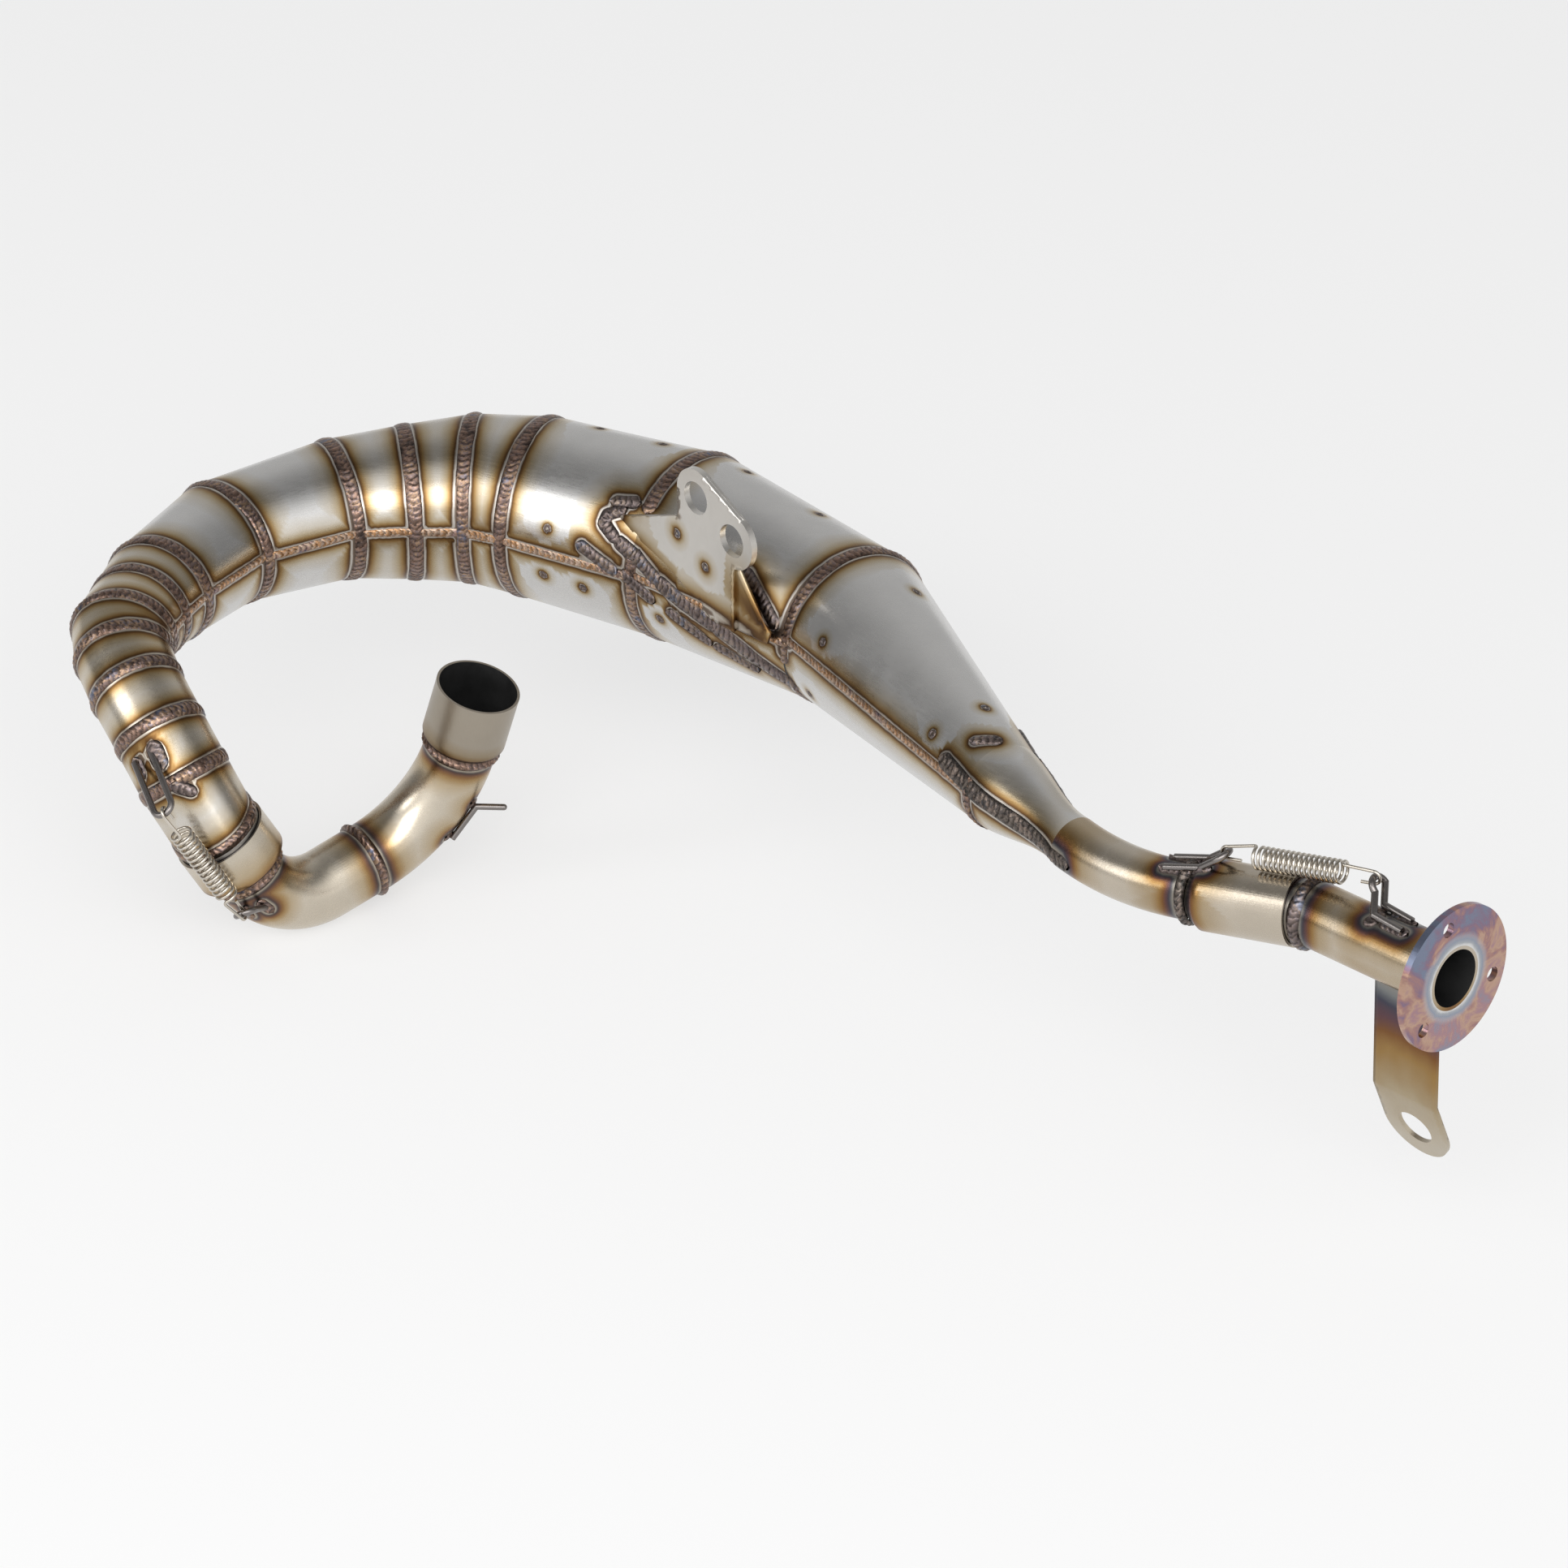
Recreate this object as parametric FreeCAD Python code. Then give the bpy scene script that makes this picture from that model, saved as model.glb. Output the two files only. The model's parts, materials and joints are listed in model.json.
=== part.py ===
import FreeCAD, Part
import math
import os
from FreeCAD import Vector as V

# Expansion-chamber exhaust of a racing scooter, made of mitred rolled-sheet cones, bent tubes, two slip joints
# and two extension springs. Millimetres, +Z up. The origin is the centre of the inlet socket's mouth.

# Sheet and tubes
SHEET = 1.2             # wall of the rolled segments
TUBE_WALL = 1.5         # wall of the bent tubes
SLEEVE_WALL = 1.2       # wall of the three swaged sleeves
SLIP_CLEAR = 0.35       # radial room between a spigot and its sleeve

# Inlet sleeve over the cylinder stub
INLET_OD = 39.0
INLET_CYL = 28.0        # straight length of the sleeve
INLET_SHOULDER = 4.0    # length of its taper to the tube
INLET_HEADING, INLET_CLIMB = 159.0, -73.0

# Manifold tubes
MANIFOLD_OD = 33.5
UPPER_BEND_R = 59.5
LEG_HEADING, LEG_CLIMB = -143.0, -12.0
LEG_LENGTH = 20.0       # straight end of the elbow
ELBOW_R = 34.0

# Slip joint between manifold and header
SLIP_OD = 43.5
SLIP_CYL = 18.5
SLIP_SHOULDER = 4.0
SLIP_HEADING, SLIP_CLIMB = -163.0, 62.0
SPIGOT_IN = 15.0        # how far the spigot goes into the sleeve
SPIGOT_OUT = 5.0        # spigot length outside the sleeve

# Cut list of the rolled segments: name, length on the centreline, heading, climb, diameter at the far end
CUT_LIST = [
    ("header_a", 26.0, 152.0, 56.0, 42.5),
    ("header_b", 23.0, 132.0, 44.0, 42.5),
    ("header_c", 24.0, 124.0, 31.0, 43.0),
    ("header_d", 20.0, 114.0, 21.0, 44.0),
    ("header_e", 15.0, 96.0, 15.0, 47.0),
    ("diffuser_f", 20.0, 76.0, 0.0, 48.0),
    ("diffuser_g", 23.0, 73.0, 0.0, 53.0),
    ("diffuser_h", 53.5, 62.0, 0.0, 60.0),
    ("diffuser_i", 61.0, 34.0, 0.0, 67.0),
    ("diffuser_j", 34.5, 12.0, 0.0, 74.0),
    ("diffuser_k", 31.0, 8.0, 0.0, 80.5),
    ("diffuser_l", 33.0, -15.0, 0.0, 87.0),
    ("belly_m", 84.5, -29.0, 0.0, 91.5),
    ("belly_n", 109.0, -46.0, 0.0, 77.0),
    ("baffle_cone", 155.0, -66.0, 0.0, 38.0),
]
FIRST_SEAM = 5          # segments from this one on show their long seam on the inside of the bend
SEAM_RISE = 8.0         # degrees of the long seam above the plane of the bend
SEAM_WIDTH, SEAM_CROWN = 4.4, 0.7
SEAM_ROOT = 0.5         # how far a seam bead shows through inside

# Transition shells and stinger
HOOD_LENGTH, HOOD_HEADING, HOOD_CLIMB = 53.0, -59.0, 0.0
HOOD_MID, HOOD_MID_OD = 25.0, 29.0      # place and diameter of its waist
# The shells part this far above the axis at one end and below it at the other
HOOD_SPLIT_LIFT, HOOD_SPLIT_DROP = 7.0, 3.0
HOOD_BEAD = 5.0         # width of the beads along the hood's edges
STINGER_OD = 24.5
STINGER_R = 150.0
STINGER_IN_HEADING, STINGER_IN_CLIMB = -54.0, -3.0
TAILSLIP_OD = 31.0
TAILSLIP_CYL = 42.0
TAILSLIP_FLARE = 5.0
TAILSLIP_HEADING, TAILSLIP_CLIMB = -33.0, 9.0

# Tail piece
TAIL_SPIGOT_IN = 32.0
TAIL_SPIGOT_OUT = 6.0
TAIL_LENGTH = 76.0
TAIL_HEADING, TAIL_CLIMB = -47.5, 3.5
FLANGE_OD, FLANGE_T = 63.0, 3.0
FLANGE_PCD, FLANGE_HOLE = 49.0, 6.4
FLANGE_TURN = 11.0      # degrees from straight up to the first flange hole

# Girth beads
BEAD_HEADER = 1.6       # half width on the short header segments
BEAD_CONE = 2.6         # half width on the longer cones
BEAD_CROWN = 1.0
BEAD_TOE = 0.25

# Main bracket
BRACKET_T = 1.6
BRACKET_HEADING = -49.0
BRACKET_STATION = 20.0  # distance of its left corner before the belly's girth weld
BRACKET_OFFSET = 35.0   # horizontal distance of its plane from the belly's axis there
BRACKET_Z = 27.0        # height of its left corner over the axis
BRACKET_HOLE = 16.0
BRACKET_HOLE_1 = (58.0, 32.5)
BRACKET_HOLE_2 = (83.0, 20.5)
BRACKET_EAR_R = 14.0
BRACKET_FIT = 0.1       # gap between the coped edge and the belly

# Tail bracket
TAIL_BRACKET_T = 2.0
TAIL_BRACKET_W = 33.0
TAIL_BRACKET_DROP = 50.0
TAIL_BRACKET_TAB = 36.5
TAIL_BRACKET_KICK = 22.0
TAIL_BRACKET_HOLE = 17.0
TAIL_BRACKET_BACK = 23.5    # distance of its middle behind the flange face

# Springs and hooks
HOOK_WIRE = 3.0
HOOK_HALF = 4.6         # half the spread of a hook's two legs
SPRING_WIRE = 1.4
SPRING_OD = 10.5
SPRING_GAP = 0.8        # room between coil and sleeve
SPRING_PLAY = 0.6       # room between a spring's eye and the hook's wire
SPRING_1_FRONT, SPRING_1_BACK = 40.0, 26.0   # eyes before and behind the sleeve's mouth
SPRING_1_TURNS, SPRING_1_PITCH = 15, 2.75
SPRING_1_AROUND = -6.0 # degrees round the slip axis from the side that faces -Y
SPRING_2_FRONT, SPRING_2_BACK = 31.0, 36.0
SPRING_2_TURNS, SPRING_2_PITCH = 17, 2.35
SPRING_TAIL = 6.0       # free end of an eye
HEADER_HOOK_ALONG = 11.0    # seat of the header hook along its segment
HEADER_HOOK_SIDE, HEADER_HOOK_RISE = -117.0, 20.0   # the way that seat faces
MANIFOLD_HOOK_RUN = 9.0     # from the eye to the seat, along each joint
STINGER_HOOK_RUN = 11.5
STINGER_HOOK_FOOT = 17.0    # feet of the stinger hook along the tube
FOOT_SINK = 1.5
TAIL_HOOK_RUN = 9.0
TAIL_HOOK_FOOT = 15.0       # feet of the tail hook along the tube
CYLINDER_HOOK_FOOT = 19.0   # foot and arm of the empty hook on the upper bend
CYLINDER_HOOK_ARM = 13.0
CYLINDER_HOOK_AT = 0.42       # its place along the upper bend
CYLINDER_HOOK_SIDE, CYLINDER_HOOK_RISE = -25.0, -35.0   # the way its seat faces
HOOK_SINK = 3.0             # length that a leg runs into its seat before it is coped


def heading(h, c):
    h, c = math.radians(h), math.radians(c)
    return V(math.cos(h) * math.cos(c), math.sin(h) * math.cos(c), math.sin(c))


def unit(v):
    v = V(v)
    v.normalize()
    return v


def square_to(v, axis):
    return unit(v - axis * v.dot(axis))


def bend(p, d0, d1, radius):
    """Centre, axis, angle and end point of a bend from direction d0 to d1."""
    axis = unit(d0.cross(d1))
    inward = axis.cross(d0)
    centre = p + inward * radius
    angle = math.acos(max(-1.0, min(1.0, d0.dot(d1))))
    end = centre - (inward * math.cos(angle) - d0 * math.sin(angle)) * radius
    return centre, axis, math.degrees(angle), end


def disc(p, d, r, hole=0.0):
    face = Part.Face(Part.Wire(Part.makeCircle(r, p, d)))
    return face.cut(Part.Face(Part.Wire(Part.makeCircle(hole, p, d)))).Faces[0] if hole else face


def pipe(p, d, length, r, wall):
    return disc(p, d, r, r - wall).extrude(d * length)


def bent(p, d0, d1, radius, r, wall):
    centre, axis, angle, end = bend(p, d0, d1, radius)
    return disc(p, d0, r, r - wall).revolve(centre, axis, angle), end


def rod(a, b, r):
    d = b - a
    return Part.makeCylinder(r, d.Length, a, d)


def sleeve(mouth, d, cyl, shoulder, r, neck_r, wall):
    """A swaged sleeve: straight from its mouth, then a shoulder down to the tube's size."""
    z = [(r - wall, 0), (r, 0), (r, cyl), (neck_r, cyl + shoulder), (neck_r - wall, cyl + shoulder), (r - wall, cyl)]
    points = [V(x, 0, y) for x, y in z]
    face = Part.Face(Part.makePolygon(points + points[:1]))
    solid = face.revolve(V(0, 0, 0), V(0, 0, 1), 360)
    solid.Placement = FreeCAD.Placement(mouth, FreeCAD.Rotation(V(0, 0, 1), d))
    return solid


def collar(p, d, half, r, wall):
    """A girth bead between two square-cut ends of equal size."""
    z = [(r - wall, -half), (r + BEAD_TOE, -half), (r + BEAD_CROWN * 0.8, -half / 2), (r + BEAD_CROWN, 0),
         (r + BEAD_CROWN * 0.8, half / 2), (r + BEAD_TOE, half), (r - wall, half)]
    points = [V(x, 0, y) for x, y in z]
    solid = Part.Face(Part.makePolygon(points + points[:1])).revolve(V(0, 0, 0), V(0, 0, 1), 360)
    solid.Placement = FreeCAD.Placement(p, FreeCAD.Rotation(V(0, 0, 1), d))
    return solid


def clean(shape):
    shape = shape.removeSplitter()
    return shape.Solids[0] if len(shape.Solids) == 1 else shape


# Directions
inlet_dir = heading(INLET_HEADING, INLET_CLIMB)
leg_dir = heading(LEG_HEADING, LEG_CLIMB)
slip_dir = heading(SLIP_HEADING, SLIP_CLIMB)
stinger_dir = heading(STINGER_IN_HEADING, STINGER_IN_CLIMB)
hood_dir = heading(HOOD_HEADING, HOOD_CLIMB)
tailslip_dir = heading(TAILSLIP_HEADING, TAILSLIP_CLIMB)
tail_dir = heading(TAIL_HEADING, TAIL_CLIMB)
UP = V(0, 0, 1)

nodes = {}

# Manifold
tube_r = MANIFOLD_OD / 2
inlet_neck = inlet_dir * (INLET_CYL + INLET_SHOULDER)
nodes["inlet_socket"] = sleeve(V(0, 0, 0), inlet_dir, INLET_CYL, INLET_SHOULDER, INLET_OD / 2, tube_r, SLEEVE_WALL)
weld_1 = inlet_neck + inlet_dir * BEAD_HEADER
upper_start = weld_1 + inlet_dir * BEAD_HEADER
upper, upper_end = bent(upper_start, inlet_dir, leg_dir, UPPER_BEND_R, tube_r, TUBE_WALL)
nodes["manifold_bend_upper"] = upper
weld_2 = upper_end + leg_dir * BEAD_HEADER
leg_start = weld_2 + leg_dir * BEAD_HEADER
elbow_start = leg_start + leg_dir * LEG_LENGTH
elbow, elbow_end = bent(elbow_start, leg_dir, slip_dir, ELBOW_R, tube_r, TUBE_WALL)
nodes["manifold_elbow"] = clean(pipe(leg_start, leg_dir, LEG_LENGTH, tube_r, TUBE_WALL).fuse(elbow))
weld_3 = elbow_end + slip_dir * BEAD_HEADER
slip_neck = weld_3 + slip_dir * BEAD_HEADER
slip_mouth = slip_neck + slip_dir * (SLIP_CYL + SLIP_SHOULDER)
nodes["manifold_slip_socket"] = sleeve(slip_mouth, slip_dir * -1, SLIP_CYL, SLIP_SHOULDER, SLIP_OD / 2, tube_r, SLEEVE_WALL)
for name, p, d, wall in (("weld_inlet", weld_1, inlet_dir, SLEEVE_WALL), ("weld_elbow", weld_2, leg_dir, TUBE_WALL),
                         ("weld_slip", weld_3, slip_dir, SLEEVE_WALL)):
    nodes["manifold_" + name] = collar(p, d, BEAD_HEADER, tube_r, wall)

# Stations of the rolled segments: each cut plane halves the turn between its neighbours
spigot_r = SLIP_OD / 2 - SLEEVE_WALL - SLIP_CLEAR
station = slip_mouth + slip_dir * SPIGOT_OUT
points, radii, dirs = [station], [spigot_r], []
for name, length, h, c, far in CUT_LIST:
    dirs.append(heading(h, c))
    station = station + dirs[-1] * length
    points.append(station)
    radii.append(far / 2)
dirs.append(hood_dir)
normals = [slip_dir] + [unit(a + b) for a, b in zip(dirs, dirs[1:])]
nodes["header_spigot"] = pipe(slip_mouth - slip_dir * SPIGOT_IN, slip_dir, SPIGOT_IN + SPIGOT_OUT - BEAD_HEADER, spigot_r, SHEET)


def bead_half(k):
    return BEAD_HEADER if k < 7 else BEAD_CONE


def loop(centre, n, long_axis, a, b, d):
    """A closed ellipse on the plane with normal n, in quarters that start at the top as seen along d."""
    short_axis = n.cross(long_axis)
    curve = Part.Ellipse(centre + long_axis * a, centre + short_axis * b, centre) if a > b else Part.Circle(centre, n, b)
    if a <= b:
        curve.XAxis = long_axis
    top = square_to(UP, d)
    start = math.atan2(top.dot(short_axis), top.dot(unit(square_to(long_axis, d))))
    arcs = [curve.toShape(start + i * math.pi / 2, start + (i + 1) * math.pi / 2) for i in range(4)]
    return Part.Wire(arcs)


def ring(k, offset, extra):
    """The closed curve of a segment's surface on the cut plane k, moved along the segment by offset."""
    if k == 0 and offset <= 0:
        d, slope = slip_dir, 0.0
    else:
        i = k - 1 if offset < 0 else k
        d = dirs[i]
        slope = (radii[i + 1] - radii[i]) / CUT_LIST[i][1] if i < len(CUT_LIST) else 0.0
    n, r = normals[k], radii[k] + slope * offset + extra
    centre = points[k] + d * offset
    lean = 1.0 if k == 0 else n.dot(dirs[k])
    if lean > 0.99999:
        return loop(centre, n, square_to(UP, n).cross(n), r, r, d)
    minor = unit(dirs[k - 1].cross(dirs[k]))
    return loop(centre, n, minor.cross(n), r / lean, r, d)


def shell(rings_out, rings_in):
    outer = Part.makeLoft(rings_out, True, True)
    return outer.cut(Part.makeLoft(rings_in, True, True)), outer


def inside_point(k, offset, segment):
    """The point of the long seam on ring k: the inside of the bend, a little above its plane."""
    d, n = dirs[segment], normals[k]
    inner = square_to(d.cross(UP), d)
    rise = math.radians(SEAM_RISE)
    out = inner * math.cos(rise) + UP * math.sin(rise)
    slope = (radii[segment + 1] - radii[segment]) / CUT_LIST[segment][1]
    p = points[k] + d * offset + out * (radii[k] + slope * offset)
    return p - d * ((p - points[k] - d * offset).dot(n) / d.dot(n)), out


solids = {}
for i, (name, length, h, c, far) in enumerate(CUT_LIST):
    a, b = bead_half(i), bead_half(i + 1)
    body, outer = shell([ring(i, a, 0), ring(i + 1, -b, 0)], [ring(i, a, -SHEET), ring(i + 1, -b, -SHEET)])
    solids[name] = outer
    if i >= FIRST_SEAM:
        p, out = inside_point(i, a, i)
        q, out_q = inside_point(i + 1, -b, i)
        run = unit(q - p)
        p, q = p + run * 0.6, q - run * 0.6
        lift = square_to(out, run)
        side = run.cross(lift)
        w, t = SEAM_WIDTH / 2, SEAM_CROWN
        profile = [(-w / 3, -SHEET - SEAM_ROOT), (w / 3, -SHEET - SEAM_ROOT), (w, 0.05), (w / 2, t), (-w / 2, t), (-w, 0.05)]
        corners = [p + side * x + lift * y for x, y in profile]
        bar = Part.Face(Part.makePolygon(corners + corners[:1])).extrude(q - p)
        body = body.fuse(bar)
    nodes[name] = clean(body)

# Girth beads fill the gap at each cut plane and stand proud with a crown
crown = ((-1.0, BEAD_TOE), (-0.5, 0.8 * BEAD_CROWN), (0.0, BEAD_CROWN), (0.5, 0.8 * BEAD_CROWN), (1.0, BEAD_TOE))
for k in range(len(CUT_LIST) + 1):
    half = bead_half(k)
    outs = [ring(k, half * x, e) for x, e in crown]
    ins = [ring(k, half * x, -SHEET) for x, e in (crown[0], crown[2], crown[4])]
    nodes["chamber_weld_%02d" % k] = shell(outs, ins)[0]

# Transition: two half shells between the baffle cone and the stinger
last = len(CUT_LIST)
hood_start, hood_end = points[last], points[last] + hood_dir * HOOD_LENGTH
stinger_r = STINGER_OD / 2


def hood_rings(extra):
    waist = hood_start + hood_dir * HOOD_MID
    rounds = [(waist, hood_dir, HOOD_MID_OD / 2 + extra), (hood_end, stinger_dir, stinger_r + extra)]
    return [ring(last, -BEAD_CONE, extra), ring(last, BEAD_CONE, extra)] + \
        [loop(c, d, square_to(UP, d).cross(d), r, r, d) for c, d, r in rounds]


hood_outside = Part.makeLoft(hood_rings(0), True, False)
hood_body = hood_outside.cut(Part.makeLoft(hood_rings(-SHEET), True, False))
across = unit(UP.cross(hood_dir))
low = hood_start - hood_dir * 10 + UP * HOOD_SPLIT_LIFT
high = hood_end + hood_dir * 10 - UP * HOOD_SPLIT_DROP
corners = [low - across * 60, low + across * 60, high + across * 60, high - across * 60]
above = Part.Face(Part.makePolygon(corners + corners[:1])).extrude(UP * 60)
nodes["stinger_hood"] = clean(hood_body.common(above))
collar_zone = Part.makeLoft([ring(last, -BEAD_CONE, 9.0), ring(last, BEAD_CONE, 9.0)], True, True)
nodes["stinger_saddle"] = clean(hood_body.cut(above).cut(collar_zone))
lower_bead = nodes["chamber_weld_15"].cut(above)
nodes["chamber_weld_15"] = max(lower_bead.Solids, key=lambda s: s.Volume)
# The long beads along both edges of the hood
tilt = unit(high - low)
lift = tilt.cross(across) * -1
slab = [p + lift * s * HOOD_BEAD / 2 for p, s in ((corners[0], -1), (corners[1], -1), (corners[2], -1), (corners[3], -1))]
slab = Part.Face(Part.makePolygon(slab + slab[:1])).extrude(lift * HOOD_BEAD)
skin = Part.makeLoft(hood_rings(BEAD_CROWN), True, False).cut(hood_outside)
nodes["hood_welds"] = skin.common(slab).cut(collar_zone)

stinger_start = hood_end
stinger, stinger_end = bent(stinger_start, stinger_dir, tailslip_dir, STINGER_R, stinger_r, TUBE_WALL)
nodes["stinger_tube"] = stinger
weld_s = stinger_end + tailslip_dir * BEAD_CONE
flare_start = weld_s + tailslip_dir * BEAD_CONE
tailslip_mouth = flare_start + tailslip_dir * (TAILSLIP_FLARE + TAILSLIP_CYL)
nodes["stinger_slip_socket"] = sleeve(tailslip_mouth, tailslip_dir * -1, TAILSLIP_CYL, TAILSLIP_FLARE, TAILSLIP_OD / 2,
                                      stinger_r, SLEEVE_WALL)
nodes["stinger_weld"] = collar(weld_s, tailslip_dir, BEAD_CONE, stinger_r, SLEEVE_WALL)

# Tail piece: spigot, girth bead on the mitre, tube, flange
tail_r = TAILSLIP_OD / 2 - SLEEVE_WALL - SLIP_CLEAR
tail_mitre = tailslip_mouth + tailslip_dir * TAIL_SPIGOT_OUT
tail_n = unit(tailslip_dir + tail_dir)
tail_minor = unit(tailslip_dir.cross(tail_dir))


def tail_ring(offset, extra):
    d = tailslip_dir if offset < 0 else tail_dir
    centre, r = tail_mitre + d * offset, tail_r + extra
    major = tail_minor.cross(tail_n)
    return Part.Wire(Part.Ellipse(centre + major * (r / tail_n.dot(d)), centre + tail_minor * r, centre).toShape())


def circle_wire(p, d, r):
    return Part.Wire(Part.makeCircle(r, p, d))


spigot_end = tailslip_mouth - tailslip_dir * TAIL_SPIGOT_IN
tail_face = tail_mitre + tail_dir * TAIL_LENGTH
h = BEAD_CONE
nodes["tail_spigot"] = shell([circle_wire(spigot_end, tailslip_dir, tail_r), tail_ring(-h, 0)],
                             [circle_wire(spigot_end, tailslip_dir, tail_r - TUBE_WALL), tail_ring(-h, -TUBE_WALL)])[0]
nodes["tail_tube"] = shell([tail_ring(h, 0), circle_wire(tail_face, tail_dir, tail_r)],
                           [tail_ring(h, -TUBE_WALL), circle_wire(tail_face, tail_dir, tail_r - TUBE_WALL)])[0]
nodes["tail_weld"] = shell([tail_ring(h * x, e) for x, e in crown],
                           [tail_ring(h * x, -TUBE_WALL) for x, e in (crown[0], crown[2], crown[4])])[0]
tail_up = square_to(UP, tail_dir)
tail_side = tail_dir.cross(tail_up)
flange = disc(tail_face - tail_dir * FLANGE_T, tail_dir, FLANGE_OD / 2, tail_r).extrude(tail_dir * FLANGE_T)
for i in range(3):
    a = math.radians(FLANGE_TURN + 120 * i)
    p = tail_face + (tail_up * math.cos(a) + tail_side * math.sin(a)) * (FLANGE_PCD / 2) - tail_dir * (FLANGE_T + 1)
    flange = flange.cut(Part.makeCylinder(FLANGE_HOLE / 2, FLANGE_T + 2, p, tail_dir))
nodes["tail_flange"] = flange

# Tail bracket: a strap under the tail tube, kicked at a bend, with a rounded end and one large hole
strap_top = tail_face - tail_dir * TAIL_BRACKET_BACK
strap_n = tail_side
half_w = TAIL_BRACKET_W / 2
kick = math.radians(TAIL_BRACKET_KICK)
tab_down = unit(tail_up * -math.cos(kick) - strap_n * math.sin(kick))
tab_n = tail_dir.cross(tab_down) * -1
bend_line = strap_top - tail_up * (tail_r + TAIL_BRACKET_DROP)
top = strap_top - tail_up * (tail_r * 0.2)
corners = [top - tail_dir * half_w, top + tail_dir * half_w, bend_line + tail_dir * half_w, bend_line - tail_dir * half_w]
strap = Part.Face(Part.makePolygon(corners + corners[:1])).extrude(strap_n * TAIL_BRACKET_T)
tab_end = bend_line + tab_down * (TAIL_BRACKET_TAB - half_w)
rim = [Part.LineSegment(bend_line - tail_dir * half_w, bend_line + tail_dir * half_w).toShape(),
       Part.LineSegment(bend_line + tail_dir * half_w, tab_end + tail_dir * half_w).toShape(),
       Part.Arc(tab_end + tail_dir * half_w, tab_end + tab_down * half_w, tab_end - tail_dir * half_w).toShape(),
       Part.LineSegment(tab_end - tail_dir * half_w, bend_line - tail_dir * half_w).toShape()]
if tab_n.dot(strap_n) < 0:
    tab_n = tab_n * -1
tab = Part.Face(Part.Wire(rim)).extrude(tab_n * TAIL_BRACKET_T)
knee = Part.Face(Part.makePolygon([bend_line, bend_line + strap_n * TAIL_BRACKET_T, bend_line + tab_n * TAIL_BRACKET_T,
                                   bend_line])).extrude(tail_dir * TAIL_BRACKET_W)
knee.translate(tail_dir * -half_w)
tab_hole = Part.makeCylinder(TAIL_BRACKET_HOLE / 2, TAIL_BRACKET_T + 4, tab_end - tab_n * 2, tab_n)
strap = strap.fuse([tab, knee]).cut(tab_hole)
around_tail = Part.makeCylinder(tail_r + BRACKET_FIT, TAIL_BRACKET_W * 3, strap_top - tail_dir * TAIL_BRACKET_W * 1.5, tail_dir)
nodes["tail_bracket"] = clean(strap.cut(around_tail))

# Main bracket: two plates back to back, coped to the belly
n_station = 13
belly_dir = dirs[n_station - 1]
plate_run = heading(BRACKET_HEADING, 0)
plate_n = plate_run.cross(UP)
corner = points[n_station] - belly_dir * BRACKET_STATION + belly_dir.cross(UP) * BRACKET_OFFSET + UP * BRACKET_Z


def plate(outline, setback):
    """A plate from corner points (u, h) and arcs given as (through, end)."""
    place = lambda u, v: corner + plate_run * u + UP * v - plate_n * setback
    edges, at = [], outline[0]
    for step in outline[1:] + outline[:1]:
        if len(step) == 4:
            edges.append(Part.Arc(place(*at), place(*step[:2]), place(*step[2:])).toShape())
            at = step[2:]
        else:
            edges.append(Part.LineSegment(place(*at), place(*step)).toShape())
            at = step
    solid = Part.Face(Part.Wire(edges)).extrude(plate_n * -BRACKET_T)
    for u, v in (BRACKET_HOLE_1, BRACKET_HOLE_2):
        solid = solid.cut(Part.makeCylinder(BRACKET_HOLE / 2, BRACKET_T + 4, place(u, v) + plate_n * 2, plate_n * -1))
    return solid


(u1, v1), (u2, v2), e = BRACKET_HOLE_1, BRACKET_HOLE_2, BRACKET_EAR_R
lean = math.atan2(v2 - v1, u2 - u1)
nx, ny = -math.sin(lean), math.cos(lean)
ears = [(u1 - e + 1, v1), (u1 - e * 0.62, v1 + e * 0.78, u1 + e * nx, v1 + e * ny), (u2 + e * nx, v2 + e * ny),
        (u2 + e, v2 + 2, u2 + e * 0.5, v2 - e * 0.87)]
front = [(-3.0, -3.0), (2.0, 1.5), (u1 - e + 1, v1 - 14.0)] + ears + [(u2 + 1, v2 - e), (u2 + 1, -26.0), (51.0, -27.0), (14.0, -16.0)]
rear = [(-1.0, -4.0), (4.0, 1.0), (u1 - e + 1, v1 - 15.0)] + ears + [(u2 + 3, v2 - e + 1), (u2 + 10, -2.0, u2 + 24, -18.0),
        (u2 + 22, -24.0), (51.0, -27.0), (14.0, -18.0)]


def grown(k0, k1):
    """The outside of the belly segments, a fit larger, from ring k0 to ring k1."""
    rings = [ring(k, 0.0, BRACKET_FIT) for k in range(k0, k1 + 1)]
    return Part.makeLoft(rings, True, True)


belly_beads = [nodes["chamber_weld_13"], nodes["chamber_weld_14"]]
for name, outline, setback in (("bracket_front_plate", front, 0.0), ("bracket_back_plate", rear, BRACKET_T)):
    body = plate(outline, setback).cut(grown(12, 15))
    body = max(body.Solids, key=lambda s: s.Volume)
    body = body.cut(belly_beads[0].fuse(belly_beads[1])).cut(nodes["belly_m"]).cut(nodes["belly_n"])
    nodes[name] = max(body.Solids, key=lambda s: s.Volume)

# Springs and wire hooks, in the frame of each slip joint: along the joint, outward, around
slip_up = upstream = slip_dir * -1
front_side = square_to(V(0, -1, 0), slip_dir)
turn = math.radians(SPRING_1_AROUND)
out_1 = front_side * math.cos(turn) + slip_dir.cross(front_side) * math.sin(turn)
reach_1 = SLIP_OD / 2 + SPRING_OD / 2 + SPRING_GAP
out_2 = square_to(UP, tailslip_dir)
reach_2 = TAILSLIP_OD / 2 + SPRING_OD / 2 + SPRING_GAP
wire_r, coil_wire_r = HOOK_WIRE / 2, SPRING_WIRE / 2


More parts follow.
